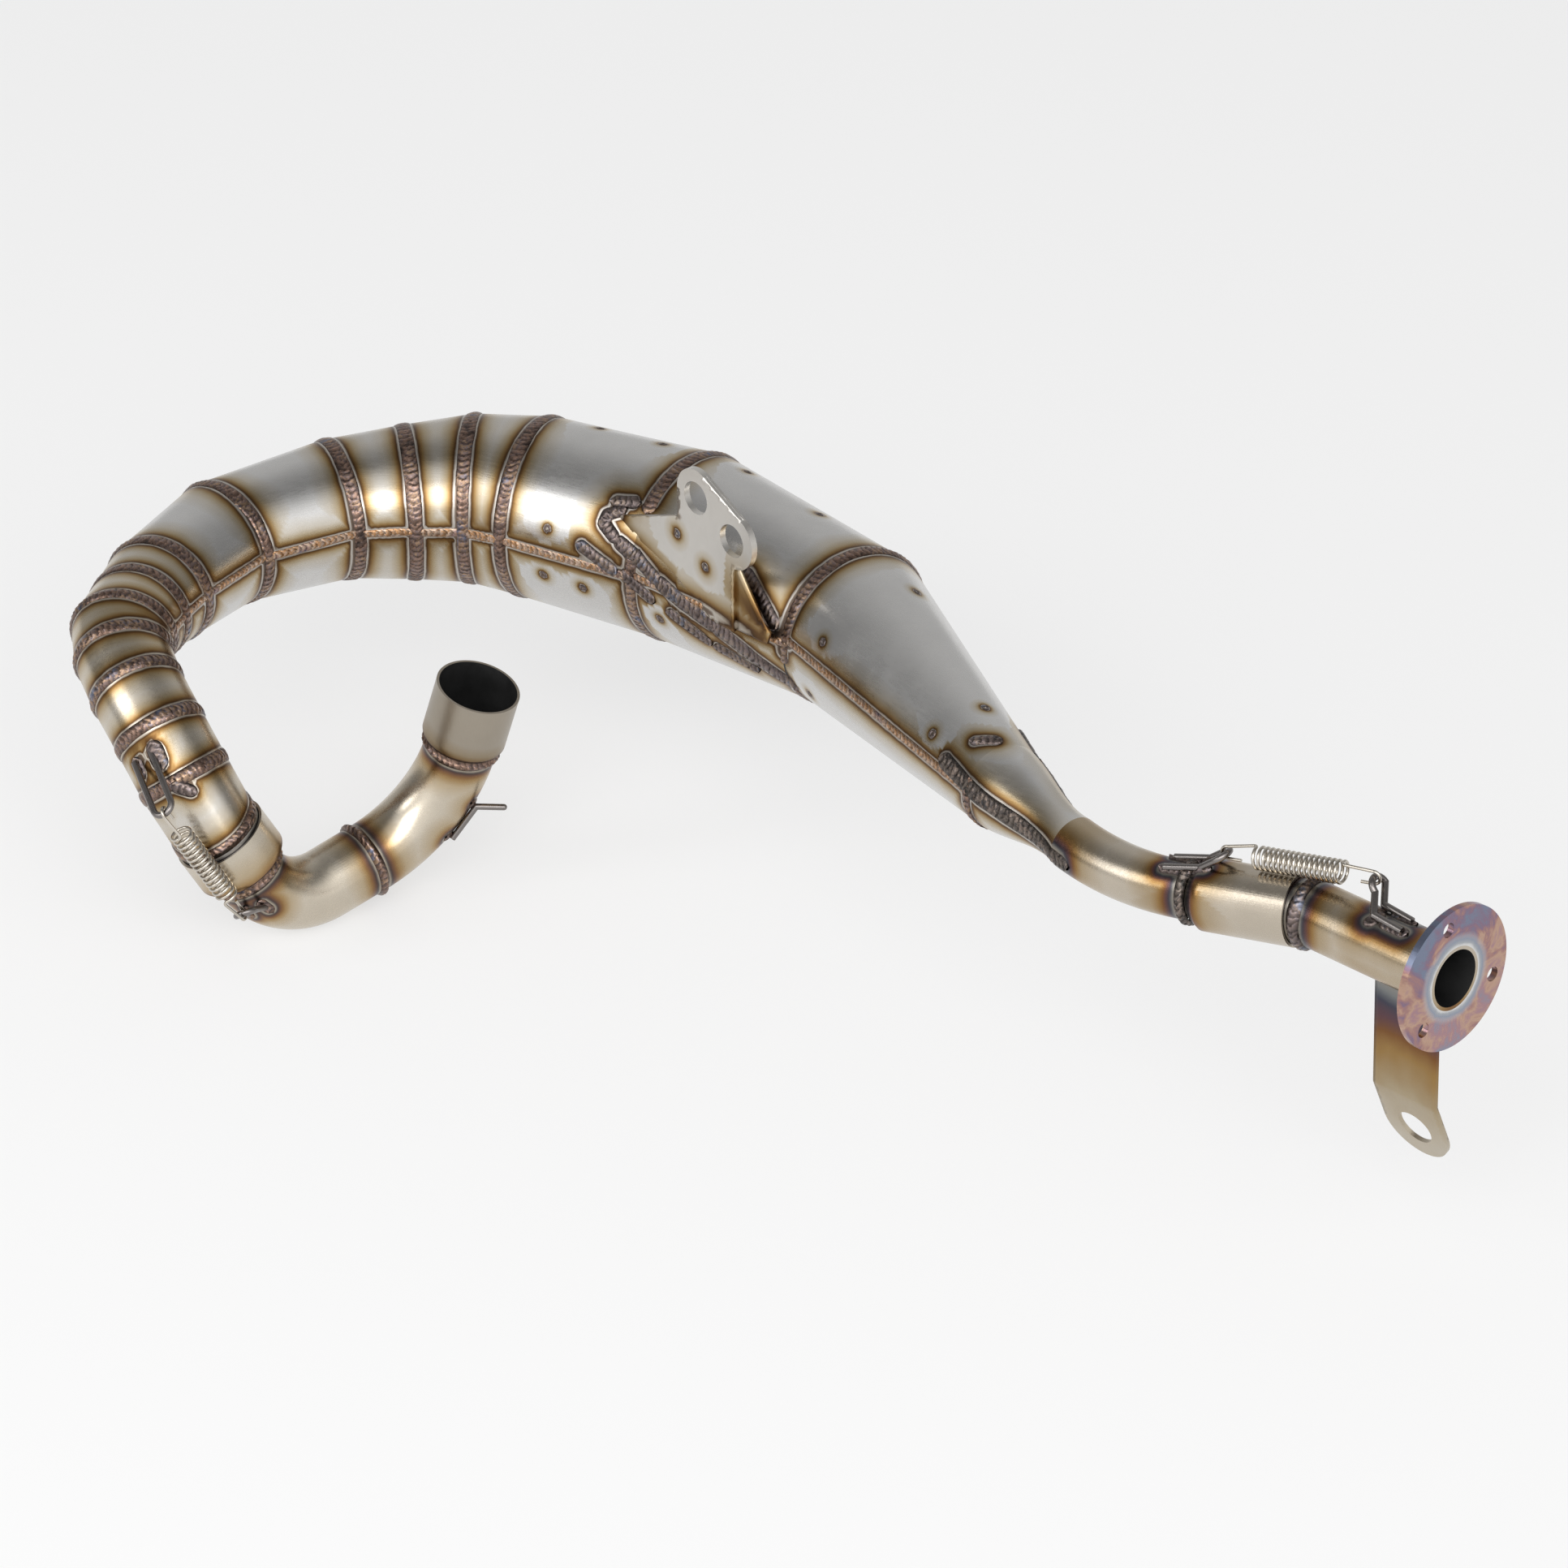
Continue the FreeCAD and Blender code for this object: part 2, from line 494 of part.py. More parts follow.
def u_hook(tip, seat, around):
    """A staple of round wire: two legs from the seat, joined by a half round at the tip."""
    run = unit(seat - tip)
    side = square_to(around, run)
    middle = tip + run * HOOK_HALF
    axis = run.cross(side)
    start = middle + side * HOOK_HALF
    half_round = disc(start, run, wire_r).revolve(middle, axis, 180)
    if half_round.CenterOfMass.sub(middle).dot(run) > 0:
        half_round = disc(start, run, wire_r).revolve(middle, axis * -1, 180)
    length = (seat - middle).dot(run)
    legs = [disc(middle + side * (s * HOOK_HALF), run, wire_r).extrude(run * length) for s in (1, -1)]
    return clean(half_round.fuse(legs))


def eye(tip, run, out, side, coil_point, coil_tangent):
    """A spring's end: free end, half round about the hook's wire, shank and the turn into the coil."""
    r = wire_r + coil_wire_r + SPRING_PLAY
    low, high = tip - out * r, tip + out * r
    free = disc(low + run * SPRING_TAIL, run, coil_wire_r).extrude(run * -SPRING_TAIL)
    loop = disc(low, run, coil_wire_r).revolve(tip, side, 180)
    if loop.CenterOfMass.sub(tip).dot(run) > 0:
        loop = disc(low, run, coil_wire_r).revolve(tip, side * -1, 180)
    back = coil_tangent * -1
    radius = SPRING_WIRE * 1.2
    v = unit(high - coil_point)
    for _ in range(12):
        corner_end = bend(coil_point, back, v, radius)[3]
        v = unit(high - corner_end)
    centre, axis, angle, corner_end = bend(coil_point, back, v, radius)
    corner_arc = disc(coil_point, back, coil_wire_r).revolve(centre, axis, angle)
    shank = rod(corner_end, high, coil_wire_r)
    knob = Part.makeSphere(coil_wire_r, high)
    return [free, loop, corner_arc, shank, knob]


def spring(tip_a, tip_b, out, turns, pitch):
    run = unit(tip_b - tip_a)
    out = square_to(out, run)
    side = run.cross(out)
    coil_r = SPRING_OD / 2 - coil_wire_r
    length = pitch * turns
    middle = (tip_a + tip_b) * 0.5
    helix = Part.makeHelix(pitch, length, coil_r)
    spin = FreeCAD.Rotation(out, side, run, "ZXY")
    base = middle - run * (length / 2)
    tangent = unit(side * coil_r + run * (pitch / (2 * math.pi)))
    start, end = base + out * coil_r, base + out * coil_r + run * length
    helix.Placement = FreeCAD.Placement(base, spin)
    section = Part.Wire(Part.makeCircle(coil_wire_r, start, tangent))
    coil = Part.Wire(helix).makePipeShell([section], True, True)
    pieces = eye(tip_a, run, out, side, start, tangent) + eye(tip_b, run * -1, out, side, end, tangent * -1)
    return clean(coil.fuse(pieces))


around_1, around_2 = upstream.cross(out_1), tailslip_dir.cross(out_2)
eye_1a = slip_mouth - upstream * SPRING_1_FRONT + out_1 * reach_1
eye_1b = slip_mouth + upstream * SPRING_1_BACK + out_1 * reach_1
eye_2a = tailslip_mouth - tailslip_dir * SPRING_2_FRONT + out_2 * reach_2
eye_2b = tailslip_mouth + tailslip_dir * SPRING_2_BACK + out_2 * reach_2
nodes["manifold_spring"] = spring(eye_1a, eye_1b, out_1, SPRING_1_TURNS, SPRING_1_PITCH)
nodes["tail_spring"] = spring(eye_2a, eye_2b, out_2, SPRING_2_TURNS, SPRING_2_PITCH)

# Hooks: each is coped to the tube or segment that it is welded to
seat = points[1] + dirs[1] * HEADER_HOOK_ALONG
seat = seat + square_to(heading(HEADER_HOOK_SIDE, HEADER_HOOK_RISE), dirs[1]) * (radii[1] + wire_r)
run = unit(seat - eye_1a)
hook = u_hook(eye_1a, seat + run * HOOK_SINK, around_1)
nodes["header_spring_hook"] = hook.cut(Part.makeLoft([ring(k, 0.0, BEAD_TOE) for k in range(4)], True, True))

seat = slip_mouth + upstream * (SPRING_1_BACK + MANIFOLD_HOOK_RUN) + out_1 * tube_r
run = unit(seat - eye_1b)
elbow_core = disc(elbow_start, leg_dir, tube_r).revolve(*bend(elbow_start, leg_dir, slip_dir, ELBOW_R)[:3])
neck_core = Part.makeCylinder(tube_r + BEAD_CROWN, 2 * BEAD_HEADER, elbow_end, slip_dir)
hook = u_hook(eye_1b, seat + run * HOOK_SINK, around_1)
nodes["manifold_spring_hook"] = hook.cut(elbow_core.fuse(neck_core))

seat = tailslip_mouth - tailslip_dir * (SPRING_2_FRONT + STINGER_HOOK_RUN) + out_2 * (stinger_r + wire_r + BEAD_CROWN)
hook = u_hook(eye_2a, seat, around_2)
side = square_to(around_2, unit(seat - eye_2a))
feet = []
for s in (1, -1):
    knee_point = seat + side * (s * HOOK_HALF)
    heel = knee_point - tailslip_dir * STINGER_HOOK_FOOT - out_2 * (BEAD_CROWN + FOOT_SINK)
    feet += [Part.makeSphere(wire_r, knee_point), rod(knee_point, heel, wire_r)]
stinger_core = disc(stinger_start, stinger_dir, stinger_r).revolve(*bend(stinger_start, stinger_dir, tailslip_dir, STINGER_R)[:3])
hook = clean(hook.fuse(feet)).cut(stinger_core).cut(nodes["stinger_weld"]).cut(nodes["stinger_slip_socket"])
nodes["stinger_spring_hook"] = max(hook.Solids, key=lambda s: s.Volume)

tail_core = Part.makeCylinder(tail_r, TAIL_LENGTH, tail_mitre, tail_dir)
along = (eye_2b + tailslip_dir * TAIL_HOOK_RUN - tail_mitre).dot(tail_dir)
seat = tail_mitre + tail_dir * along + tail_up * (tail_r + wire_r)
side = unit(around_2)
run = square_to(seat - eye_2b, side)
bow = eye_2b + run * HOOK_HALF
hook = u_hook(eye_2b, bow + run * 0.5, side)
feet = []
for s in (1, -1):
    bow_end, knee_point = bow + side * (s * HOOK_HALF), seat + side * (s * HOOK_HALF)
    heel = knee_point + tail_dir * TAIL_HOOK_FOOT - tail_up * FOOT_SINK
    feet += [Part.makeSphere(wire_r, bow_end), rod(bow_end, knee_point, wire_r), Part.makeSphere(wire_r, knee_point),
             rod(knee_point, heel, wire_r)]
nodes["tail_spring_hook"] = max(clean(hook.fuse(feet).cut(tail_core)).Solids, key=lambda s: s.Volume)

centre, axis, angle, upper_end = bend(upper_start, inlet_dir, leg_dir, UPPER_BEND_R)
spoke = upper_start - centre
middle = centre + FreeCAD.Rotation(axis, angle * CYLINDER_HOOK_AT).multVec(spoke)
along = FreeCAD.Rotation(axis, angle * CYLINDER_HOOK_AT).multVec(inlet_dir)
face_dir = square_to(heading(CYLINDER_HOOK_SIDE, CYLINDER_HOOK_RISE), along)
foot_top = middle + face_dir * (tube_r + wire_r) - along * (CYLINDER_HOOK_FOOT / 2)
foot_end = foot_top + along * CYLINDER_HOOK_FOOT
arm_end = foot_top + unit(face_dir * 0.8 - along * 0.6) * CYLINDER_HOOK_ARM
foot = rod(foot_top, foot_end, wire_r).fuse([Part.makeSphere(wire_r, foot_top), rod(foot_top, arm_end, wire_r),
                                             Part.makeSphere(wire_r, arm_end)])
upper_core = disc(upper_start, inlet_dir, tube_r).revolve(centre, axis, angle)
nodes["cylinder_spring_hook"] = clean(foot.cut(upper_core))

os.makedirs("parts", exist_ok=True)
for name, shape in nodes.items():
    shape.exportStep("parts/%s.step" % name)
    box = shape.BoundBox
    print("%-24s %s solids %d volume %.0f  %s" % (name, "ok" if shape.isValid() else "BAD", len(shape.Solids), shape.Volume,
          [round(x) for x in (box.XMin, box.XMax, box.YMin, box.YMax, box.ZMin, box.ZMax)]))
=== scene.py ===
# %% [markdown]
# A scooter racing exhaust, dressed for its picture. The pipe itself is already a set of exact solids:
# rolled cones, bent tubes, sleeves, a bracket, springs. What they lack is what heat and hands leave
# behind: rippled beads, straw and blue colours beside each weld, brushed scratches, spot marks. This
# lesson adds those, one finish at a time, and leaves every size as it is.

# %% Load the solids
import json
import math

import bmesh
import bpy
import numpy as np
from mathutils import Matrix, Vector, noise
from mathutils.bvhtree import BVHTree
from mathutils.kdtree import KDTree

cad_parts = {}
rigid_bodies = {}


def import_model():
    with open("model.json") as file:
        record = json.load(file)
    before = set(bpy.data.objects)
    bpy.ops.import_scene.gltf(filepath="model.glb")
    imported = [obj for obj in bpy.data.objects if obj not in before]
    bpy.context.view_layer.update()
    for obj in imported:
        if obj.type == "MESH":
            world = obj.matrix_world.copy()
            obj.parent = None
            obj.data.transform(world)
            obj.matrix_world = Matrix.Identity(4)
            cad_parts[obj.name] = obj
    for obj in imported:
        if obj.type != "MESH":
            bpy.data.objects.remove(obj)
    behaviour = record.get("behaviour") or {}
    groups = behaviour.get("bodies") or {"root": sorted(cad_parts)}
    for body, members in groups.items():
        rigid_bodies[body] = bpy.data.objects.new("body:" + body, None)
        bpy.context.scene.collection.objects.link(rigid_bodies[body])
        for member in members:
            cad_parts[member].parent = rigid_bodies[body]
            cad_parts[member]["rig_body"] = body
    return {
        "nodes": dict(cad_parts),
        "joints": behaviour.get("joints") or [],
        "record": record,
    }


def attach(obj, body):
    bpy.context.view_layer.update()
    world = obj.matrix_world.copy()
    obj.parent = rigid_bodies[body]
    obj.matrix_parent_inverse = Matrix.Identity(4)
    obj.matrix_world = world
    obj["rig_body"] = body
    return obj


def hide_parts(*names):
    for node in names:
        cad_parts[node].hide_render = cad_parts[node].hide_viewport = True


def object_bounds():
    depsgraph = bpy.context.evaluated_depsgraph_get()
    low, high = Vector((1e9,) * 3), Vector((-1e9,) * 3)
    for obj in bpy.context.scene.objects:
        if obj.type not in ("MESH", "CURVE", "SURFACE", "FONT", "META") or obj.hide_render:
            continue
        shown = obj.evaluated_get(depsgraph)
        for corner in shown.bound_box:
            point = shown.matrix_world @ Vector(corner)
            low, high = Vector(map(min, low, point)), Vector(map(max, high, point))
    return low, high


for old in list(bpy.data.objects):
    bpy.data.objects.remove(old)
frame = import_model()
cad = frame["nodes"]
cad_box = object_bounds()
joint = {j["name"]: j for j in frame["joints"]}
mount = {m["name"]: m for m in frame["record"]["mounts"]}
MM = 0.001
scene = bpy.context.scene
scene.view_settings.view_transform = "Standard"
print("nodes", len(cad), "box", [tuple(round(c, 3) for c in v) for v in cad_box])

# %% [markdown]
# The photograph was taken with a long lens from well above the bench. A 110 mm lens about two metres
# away, looking down 31 degrees, gives the same shapes: the far bend is hardly smaller than the near tail.

# %% Camera
LOOK_DOWN = math.radians(31)
DISTANCE = 2.07
aim = Vector((0.13914, -0.11799, 0.01934))
lens = bpy.data.cameras.new("camera")
lens.lens, lens.sensor_width = 110.0, 36.0
lens.clip_start, lens.clip_end = 0.05, 50.0
camera = bpy.data.objects.new("camera", lens)
scene.collection.objects.link(camera)
camera.location = aim + DISTANCE * Vector((0, -math.cos(LOOK_DOWN), math.sin(LOOK_DOWN)))
camera.rotation_euler = (math.pi / 2 - LOOK_DOWN, 0, 0)
scene.camera = camera


# %% [markdown]
# Small helpers for shader trees. A material here is a short recipe, so each helper makes one node and
# gives it back, and `link` joins two sockets.

# %% Node helpers
def add(tree, kind, **values):
    node = tree.nodes.new(kind)
    for key, value in values.items():
        if hasattr(node, key):
            setattr(node, key, value)
        else:
            node.inputs[key.replace("_", " ")].default_value = value
    return node


def link(tree, out, into):
    tree.links.new(out, into)


def math_node(tree, how, a, b=None, clamp=False):
    node = tree.nodes.new("ShaderNodeMath")
    node.operation, node.use_clamp = how, clamp
    for i, v in enumerate((a, b)):
        if v is None:
            continue
        if isinstance(v, (int, float)):
            node.inputs[i].default_value = v
        else:
            tree.links.new(v, node.inputs[i])
    return node.outputs[0]


def mix_colour(tree, factor, a, b, how="MIX"):
    node = tree.nodes.new("ShaderNodeMix")
    node.data_type, node.blend_type = "RGBA", how
    for socket, v in ((node.inputs[0], factor), (node.inputs[6], a), (node.inputs[7], b)):
        if isinstance(v, (int, float)):
            socket.default_value = v
        elif isinstance(v, tuple):
            socket.default_value = (*v, 1.0)
        else:
            tree.links.new(v, socket)
    return node.outputs[2]


def ramp(tree, value, stops):
    node = tree.nodes.new("ShaderNodeValToRGB")
    items = node.color_ramp.elements
    while len(items) < len(stops):
        items.new(0.5)
    for item, (place, colour) in zip(items, stops):
        item.position = place
        item.color = (*colour, 1.0) if isinstance(colour, tuple) else (colour, colour, colour, 1.0)
    tree.links.new(value, node.inputs[0])
    return node.outputs[0]


def noise_at(tree, where, **values):
    node = add(tree, "ShaderNodeTexNoise", **values)
    link(tree, where, node.inputs["Vector"])
    return node.outputs["Fac"]


def new_material(name, metallic=1.0):
    made = bpy.data.materials.new(name)
    made.use_nodes = True
    shade = made.node_tree.nodes["Principled BSDF"]
    shade.inputs["Metallic"].default_value = metallic
    return made, made.node_tree, shade


# %% [markdown]
# The studio is a white bench under soft light. Bare steel shows its surroundings more than its own
# colour, so the surroundings matter: a bright wall and lamp in front give the white band along each cone,
# a dark ceiling gives the grey band above it, and the far wall lights the tops. The bench glows a little
# for the camera and for reflections, which keeps it white, and still takes the shadow.

# %% Bench
floor_z = cad_box[0].z - 0.0005
bench_mesh = bpy.data.meshes.new("bench")
bench_mesh.from_pydata([(-6, -6, floor_z), (6, -6, floor_z), (6, 6, floor_z), (-6, 6, floor_z)], [],
                       [(0, 1, 2, 3)])
bench = bpy.data.objects.new("bench", bench_mesh)
scene.collection.objects.link(bench)
paint, tree, shade = new_material("bench_paint", 0.0)
shade.inputs["Base Color"].default_value = (0.86, 0.86, 0.86, 1)
shade.inputs["Roughness"].default_value = 0.9
glow = add(tree, "ShaderNodeEmission")
path = add(tree, "ShaderNodeLightPath")
seen = math_node(tree, "MAXIMUM", path.outputs["Is Camera Ray"],
                 math_node(tree, "MAXIMUM", path.outputs["Is Glossy Ray"],
                           path.outputs["Is Transmission Ray"]))
blend = add(tree, "ShaderNodeMixShader")
link(tree, math_node(tree, "MULTIPLY", seen, 0.6), blend.inputs[0])
link(tree, shade.outputs[0], blend.inputs[1])
link(tree, glow.outputs[0], blend.inputs[2])
link(tree, blend.outputs[0], tree.nodes["Material Output"].inputs[0])
bench_mesh.materials.append(paint)

# %% Room and lamps
world = bpy.data.worlds.new("room")
scene.world = world
world.use_nodes = True
tree = world.node_tree
coord = add(tree, "ShaderNodeTexCoord")
split = add(tree, "ShaderNodeSeparateXYZ")
link(tree, coord.outputs["Generated"], split.inputs[0])
depth = math_node(tree, "ADD", math_node(tree, "MULTIPLY", split.outputs[1], 0.5), 0.5)
walls = ramp(tree, depth, [(0.0, 0.85), (0.08, 1.0), (0.26, 0.92), (0.37, 0.55), (0.46, 0.2), (0.52, 0.17),
                           (0.68, 0.25), (0.88, 0.46), (1.0, 0.46)])
link(tree, walls, tree.nodes["Background"].inputs["Color"])
tree.nodes["Background"].inputs["Strength"].default_value = 1.25


LAMPS_AIM = Vector((0.12, -0.03, 0.0))


def soft_box(name, place, size, power):
    lamp = bpy.data.lights.new(name, "AREA")
    lamp.shape, lamp.size, lamp.size_y, lamp.energy = "RECTANGLE", size[0], size[1], power
    box = bpy.data.objects.new(name, lamp)
    scene.collection.objects.link(box)
    box.location = place
    box.rotation_euler = (LAMPS_AIM - Vector(place)).to_track_quat("-Z", "Y").to_euler()


soft_box("front_box", (0.1, -1.5, 1.1), (2.0, 0.8), 16)
soft_box("left_box", (-1.5, -0.6, 0.9), (0.5, 1.0), 5)

# %% [markdown]
# Heat colours. Next to a weld the steel has been hot enough to grow a film of oxide, and the film's
# thickness picks the colour: a pale line at the bead's toe, a dark brown line, then gold and straw that
# fade into bare metal. The colour follows the distance from the bead, so each dressed piece carries that
# distance, in millimetres, as an attribute called `weld_mm`. A noise moves the distance a little, as a
# hand-held torch does.


# %% Heat colour group
def group(name, inputs, outputs):
    tree = bpy.data.node_groups.new(name, "ShaderNodeTree")
    for label, kind, value in inputs:
        socket = tree.interface.new_socket(label, in_out="INPUT", socket_type=kind)
        if value is not None:
            socket.default_value = value
    for label, kind in outputs:
        tree.interface.new_socket(label, in_out="OUTPUT", socket_type=kind)
    return tree, tree.nodes.new("NodeGroupInput"), tree.nodes.new("NodeGroupOutput")


heat, heat_in, heat_out = group(
    "heat_colours",
    [("Bare", "NodeSocketColor", (0.6, 0.58, 0.55, 1)), ("Reach", "NodeSocketFloat", 1.0),
     ("Blue", "NodeSocketFloat", 0.0), ("Haze", "NodeSocketFloat", 0.0)],
    [("Color", "NodeSocketColor"), ("Burn", "NodeSocketFloat")])
where = add(heat, "ShaderNodeTexCoord").outputs["Object"]
near = add(heat, "ShaderNodeAttribute", attribute_name="weld_mm").outputs["Fac"]
wander = noise_at(heat, where, Scale=160.0, Detail=3.0)
slow = noise_at(heat, where, Scale=38.0, Detail=2.0)
shift = math_node(heat, "SUBTRACT", wander, 0.5)
sway = math_node(heat, "ADD", 0.62, math_node(heat, "MULTIPLY", slow, 0.76))
reach = math_node(heat, "MULTIPLY", heat_in.outputs["Reach"], sway)
swayed = math_node(heat, "ADD", near, math_node(heat, "MULTIPLY", shift, 0.9))
film_mm = math_node(heat, "DIVIDE", swayed, reach)
part = math_node(heat, "DIVIDE", math_node(heat, "ADD", film_mm, 1.0), 17.0, clamp=True)
straw = ramp(heat, part, [
    (0.0, (0.20, 0.15, 0.12)), (0.035, (0.34, 0.27, 0.22)), (0.055, (0.90, 0.87, 0.83)),
    (0.085, (0.60, 0.53, 0.46)), (0.11, (0.12, 0.065, 0.032)), (0.145, (0.24, 0.13, 0.05)),
    (0.20, (0.46, 0.30, 0.13)), (0.29, (0.67, 0.55, 0.37)), (0.46, (0.87, 0.81, 0.71)),
    (0.82, (1.0, 1.0, 1.0))])
deep = ramp(heat, part, [
    (0.0, (0.16, 0.14, 0.14)), (0.05, (0.50, 0.50, 0.52)), (0.09, (0.36, 0.41, 0.48)),
    (0.135, (0.11, 0.13, 0.22)), (0.19, (0.20, 0.11, 0.17)), (0.245, (0.34, 0.15, 0.06)),
    (0.32, (0.56, 0.35, 0.13)), (0.45, (0.76, 0.65, 0.48)), (0.87, (1.0, 1.0, 1.0))])
film = mix_colour(heat, heat_in.outputs["Blue"], straw, deep)
hazy = mix_colour(heat, heat_in.outputs["Haze"], film, (0.78, 0.69, 0.54), "MULTIPLY")
tinted = mix_colour(heat, 1.0, heat_in.outputs["Bare"], hazy, "MULTIPLY")
link(heat, tinted, heat_out.inputs["Color"])
link(heat, math_node(heat, "SUBTRACT", 1.0, math_node(heat, "MULTIPLY", part, 3.0, clamp=True)),
     heat_out.inputs["Burn"])

# %% [markdown]
# Rolled sheet is not a mirror. Mill rolling and a scouring pad leave fine streaks round the cones, and
# cloudy patches where fingers and flux were wiped away. One group gives both: a roughness that wanders,
# a height for the bump, and the clouds by themselves.

# %% Scour group
scour, scour_in, scour_out = group(
    "scour", [("Rough", "NodeSocketFloat", 0.3), ("Stretch", "NodeSocketVector", None)],
    [("Roughness", "NodeSocketFloat"), ("Height", "NodeSocketFloat"), ("Cloud", "NodeSocketFloat")])
where = add(scour, "ShaderNodeTexCoord").outputs["Object"]
scaled = add(scour, "ShaderNodeVectorMath", operation="MULTIPLY")
link(scour, where, scaled.inputs[0])
link(scour, scour_in.outputs["Stretch"], scaled.inputs[1])
streak = noise_at(scour, scaled.outputs[0], Scale=1.0, Detail=4.0, Roughness=0.65)
cloud = noise_at(scour, where, Scale=34.0, Detail=5.0, Roughness=0.6)
pits = noise_at(scour, where, Scale=900.0, Detail=2.0)
uneven = math_node(scour, "SUBTRACT", streak, 0.5)
patchy = math_node(scour, "SUBTRACT", cloud, 0.5)
wear = math_node(scour, "ADD", math_node(scour, "MULTIPLY", uneven, 0.18),
                 math_node(scour, "MULTIPLY", patchy, 0.22))
rough = math_node(scour, "ADD", scour_in.outputs["Rough"], wear)
link(scour, rough, scour_out.inputs["Roughness"])
grain = math_node(scour, "MULTIPLY", pits, 0.35)
link(scour, math_node(scour, "ADD", streak, grain), scour_out.inputs["Height"])
link(scour, cloud, scour_out.inputs["Cloud"])


def place_group(tree, made, **values):
    node = tree.nodes.new("ShaderNodeGroup")
    node.node_tree = made
    for key, value in values.items():
        node.inputs[key].default_value = value
    return node


def steel(name, bare, reach, blue, haze, rough, stretch):
    """Bare steel with heat colours near its welds and scouring all over."""
    made, tree, shade = new_material(name)
    marks = place_group(tree, scour, Rough=rough, Stretch=stretch)
    wiped = ramp(tree, marks.outputs["Cloud"], [(0.3, 0.88), (0.7, 1.0)])
    colour, dull = bare, marks.outputs["Roughness"]
    if reach:
        tint = place_group(tree, heat, Bare=(*bare, 1), Reach=reach, Blue=blue, Haze=haze)
        colour = tint.outputs["Color"]
        dull = math_node(tree, "ADD", dull, math_node(tree, "MULTIPLY", tint.outputs["Burn"], 0.06))
    link(tree, mix_colour(tree, 1.0, colour, wiped, "MULTIPLY"), shade.inputs["Base Color"])
    link(tree, dull, shade.inputs["Roughness"])
    rise = add(tree, "ShaderNodeBump", Strength=0.06, Distance=0.0004)
    link(tree, marks.outputs["Height"], rise.inputs["Height"])
    link(tree, rise.outputs[0], shade.inputs["Normal"])
    return made


chamber_steel = steel("chamber_steel", (0.66, 0.65, 0.635), 1.2, 0.0, 0.0, 0.27, (120, 120, 1500))
header_steel = steel("header_steel", (0.68, 0.65, 0.60), 1.1, 0.0, 0.1, 0.27, (700, 700, 300))
spigot_steel = steel("spigot_steel", (0.66, 0.62, 0.56), 1.5, 0.8, 0.2, 0.27, (700, 700, 300))
manifold_steel = steel("manifold_steel", (0.68, 0.63, 0.55), 1.3, 0.5, 0.35, 0.28, (500, 500, 900))
socket_steel = steel("socket_steel", (0.40, 0.36, 0.305), 0.9, 0.3, 0.2, 0.34, (1500, 1500, 120))
tail_steel = steel("tail_steel", (0.60, 0.55, 0.48), 1.7, 0.8, 0.35, 0.27, (400, 900, 900))
plate_steel = steel("plate_steel", (0.69, 0.665, 0.625), 1.7, 0.0, 0.0, 0.34, (900, 900, 160))
strap_steel = steel("strap_steel", (0.60, 0.57, 0.51), 7.0, 0.9, 0.15, 0.36, (700, 700, 200))
hook_steel = steel("hook_steel", (0.24, 0.22, 0.21), 0, 0, 0, 0.30, (800, 800, 800))
print("materials", len(bpy.data.materials))

# %% [markdown]
# Spring wire is drawn and bright, with a warm cast. Only fine draw marks break its shine.

# %% Spring wire
spring_wire, tree, shade = new_material("spring_wire")
marks = place_group(tree, scour, Rough=0.2, Stretch=(900, 900, 900))
link(tree, ramp(tree, marks.outputs["Cloud"], [(0.3, (0.46, 0.42, 0.36)), (0.7, (0.66, 0.61, 0.54))]),
     shade.inputs["Base Color"])
link(tree, marks.outputs["Roughness"], shade.inputs["Roughness"])

# %% [markdown]
# Weld metal has its own colours: grey and mauve with copper and blue patches. Each ripple's crest gets a
# painted highlight and its dips painted shade.

# %% Weld metal
HUE_PLACES = (0.28, 0.38, 0.45, 0.50, 0.55, 0.61, 0.68)


def bead_metal(name, hues, shine):
    """Weld metal: patches of these hues, with a painted highlight on the ripples and painted shade between
    them.
    """
    made, tree, shade = new_material(name)
    where = add(tree, "ShaderNodeTexCoord").outputs["Object"]
    patch = noise_at(tree, where, Scale=80.0, Detail=6.0, Roughness=0.72)
    fine = noise_at(tree, where, Scale=700.0, Detail=3.0)
    hue = ramp(tree, patch, list(zip(HUE_PLACES, hues)))
    crest = add(tree, "ShaderNodeAttribute", attribute_name="crest").outputs["Fac"]
    # Painted highlight and shade: the colour is multiplied from 0.3 in the ripple dips up to 1.5 on the
    # crests
    crest_highlight_dip_shade = ramp(tree, crest, [(0.0, 0.30), (0.4, 0.75), (0.85, 1.25), (1.0, 1.5)])
    link(tree, mix_colour(tree, 1.0, hue, crest_highlight_dip_shade, "MULTIPLY"), shade.inputs["Base Color"])
    link(tree, math_node(tree, "ADD", shine, math_node(tree, "MULTIPLY", fine, 0.22)),
         shade.inputs["Roughness"])
    rise = add(tree, "ShaderNodeBump", Strength=0.35, Distance=0.0005)
    link(tree, fine, rise.inputs["Height"])
    link(tree, rise.outputs[0], shade.inputs["Normal"])
    return made


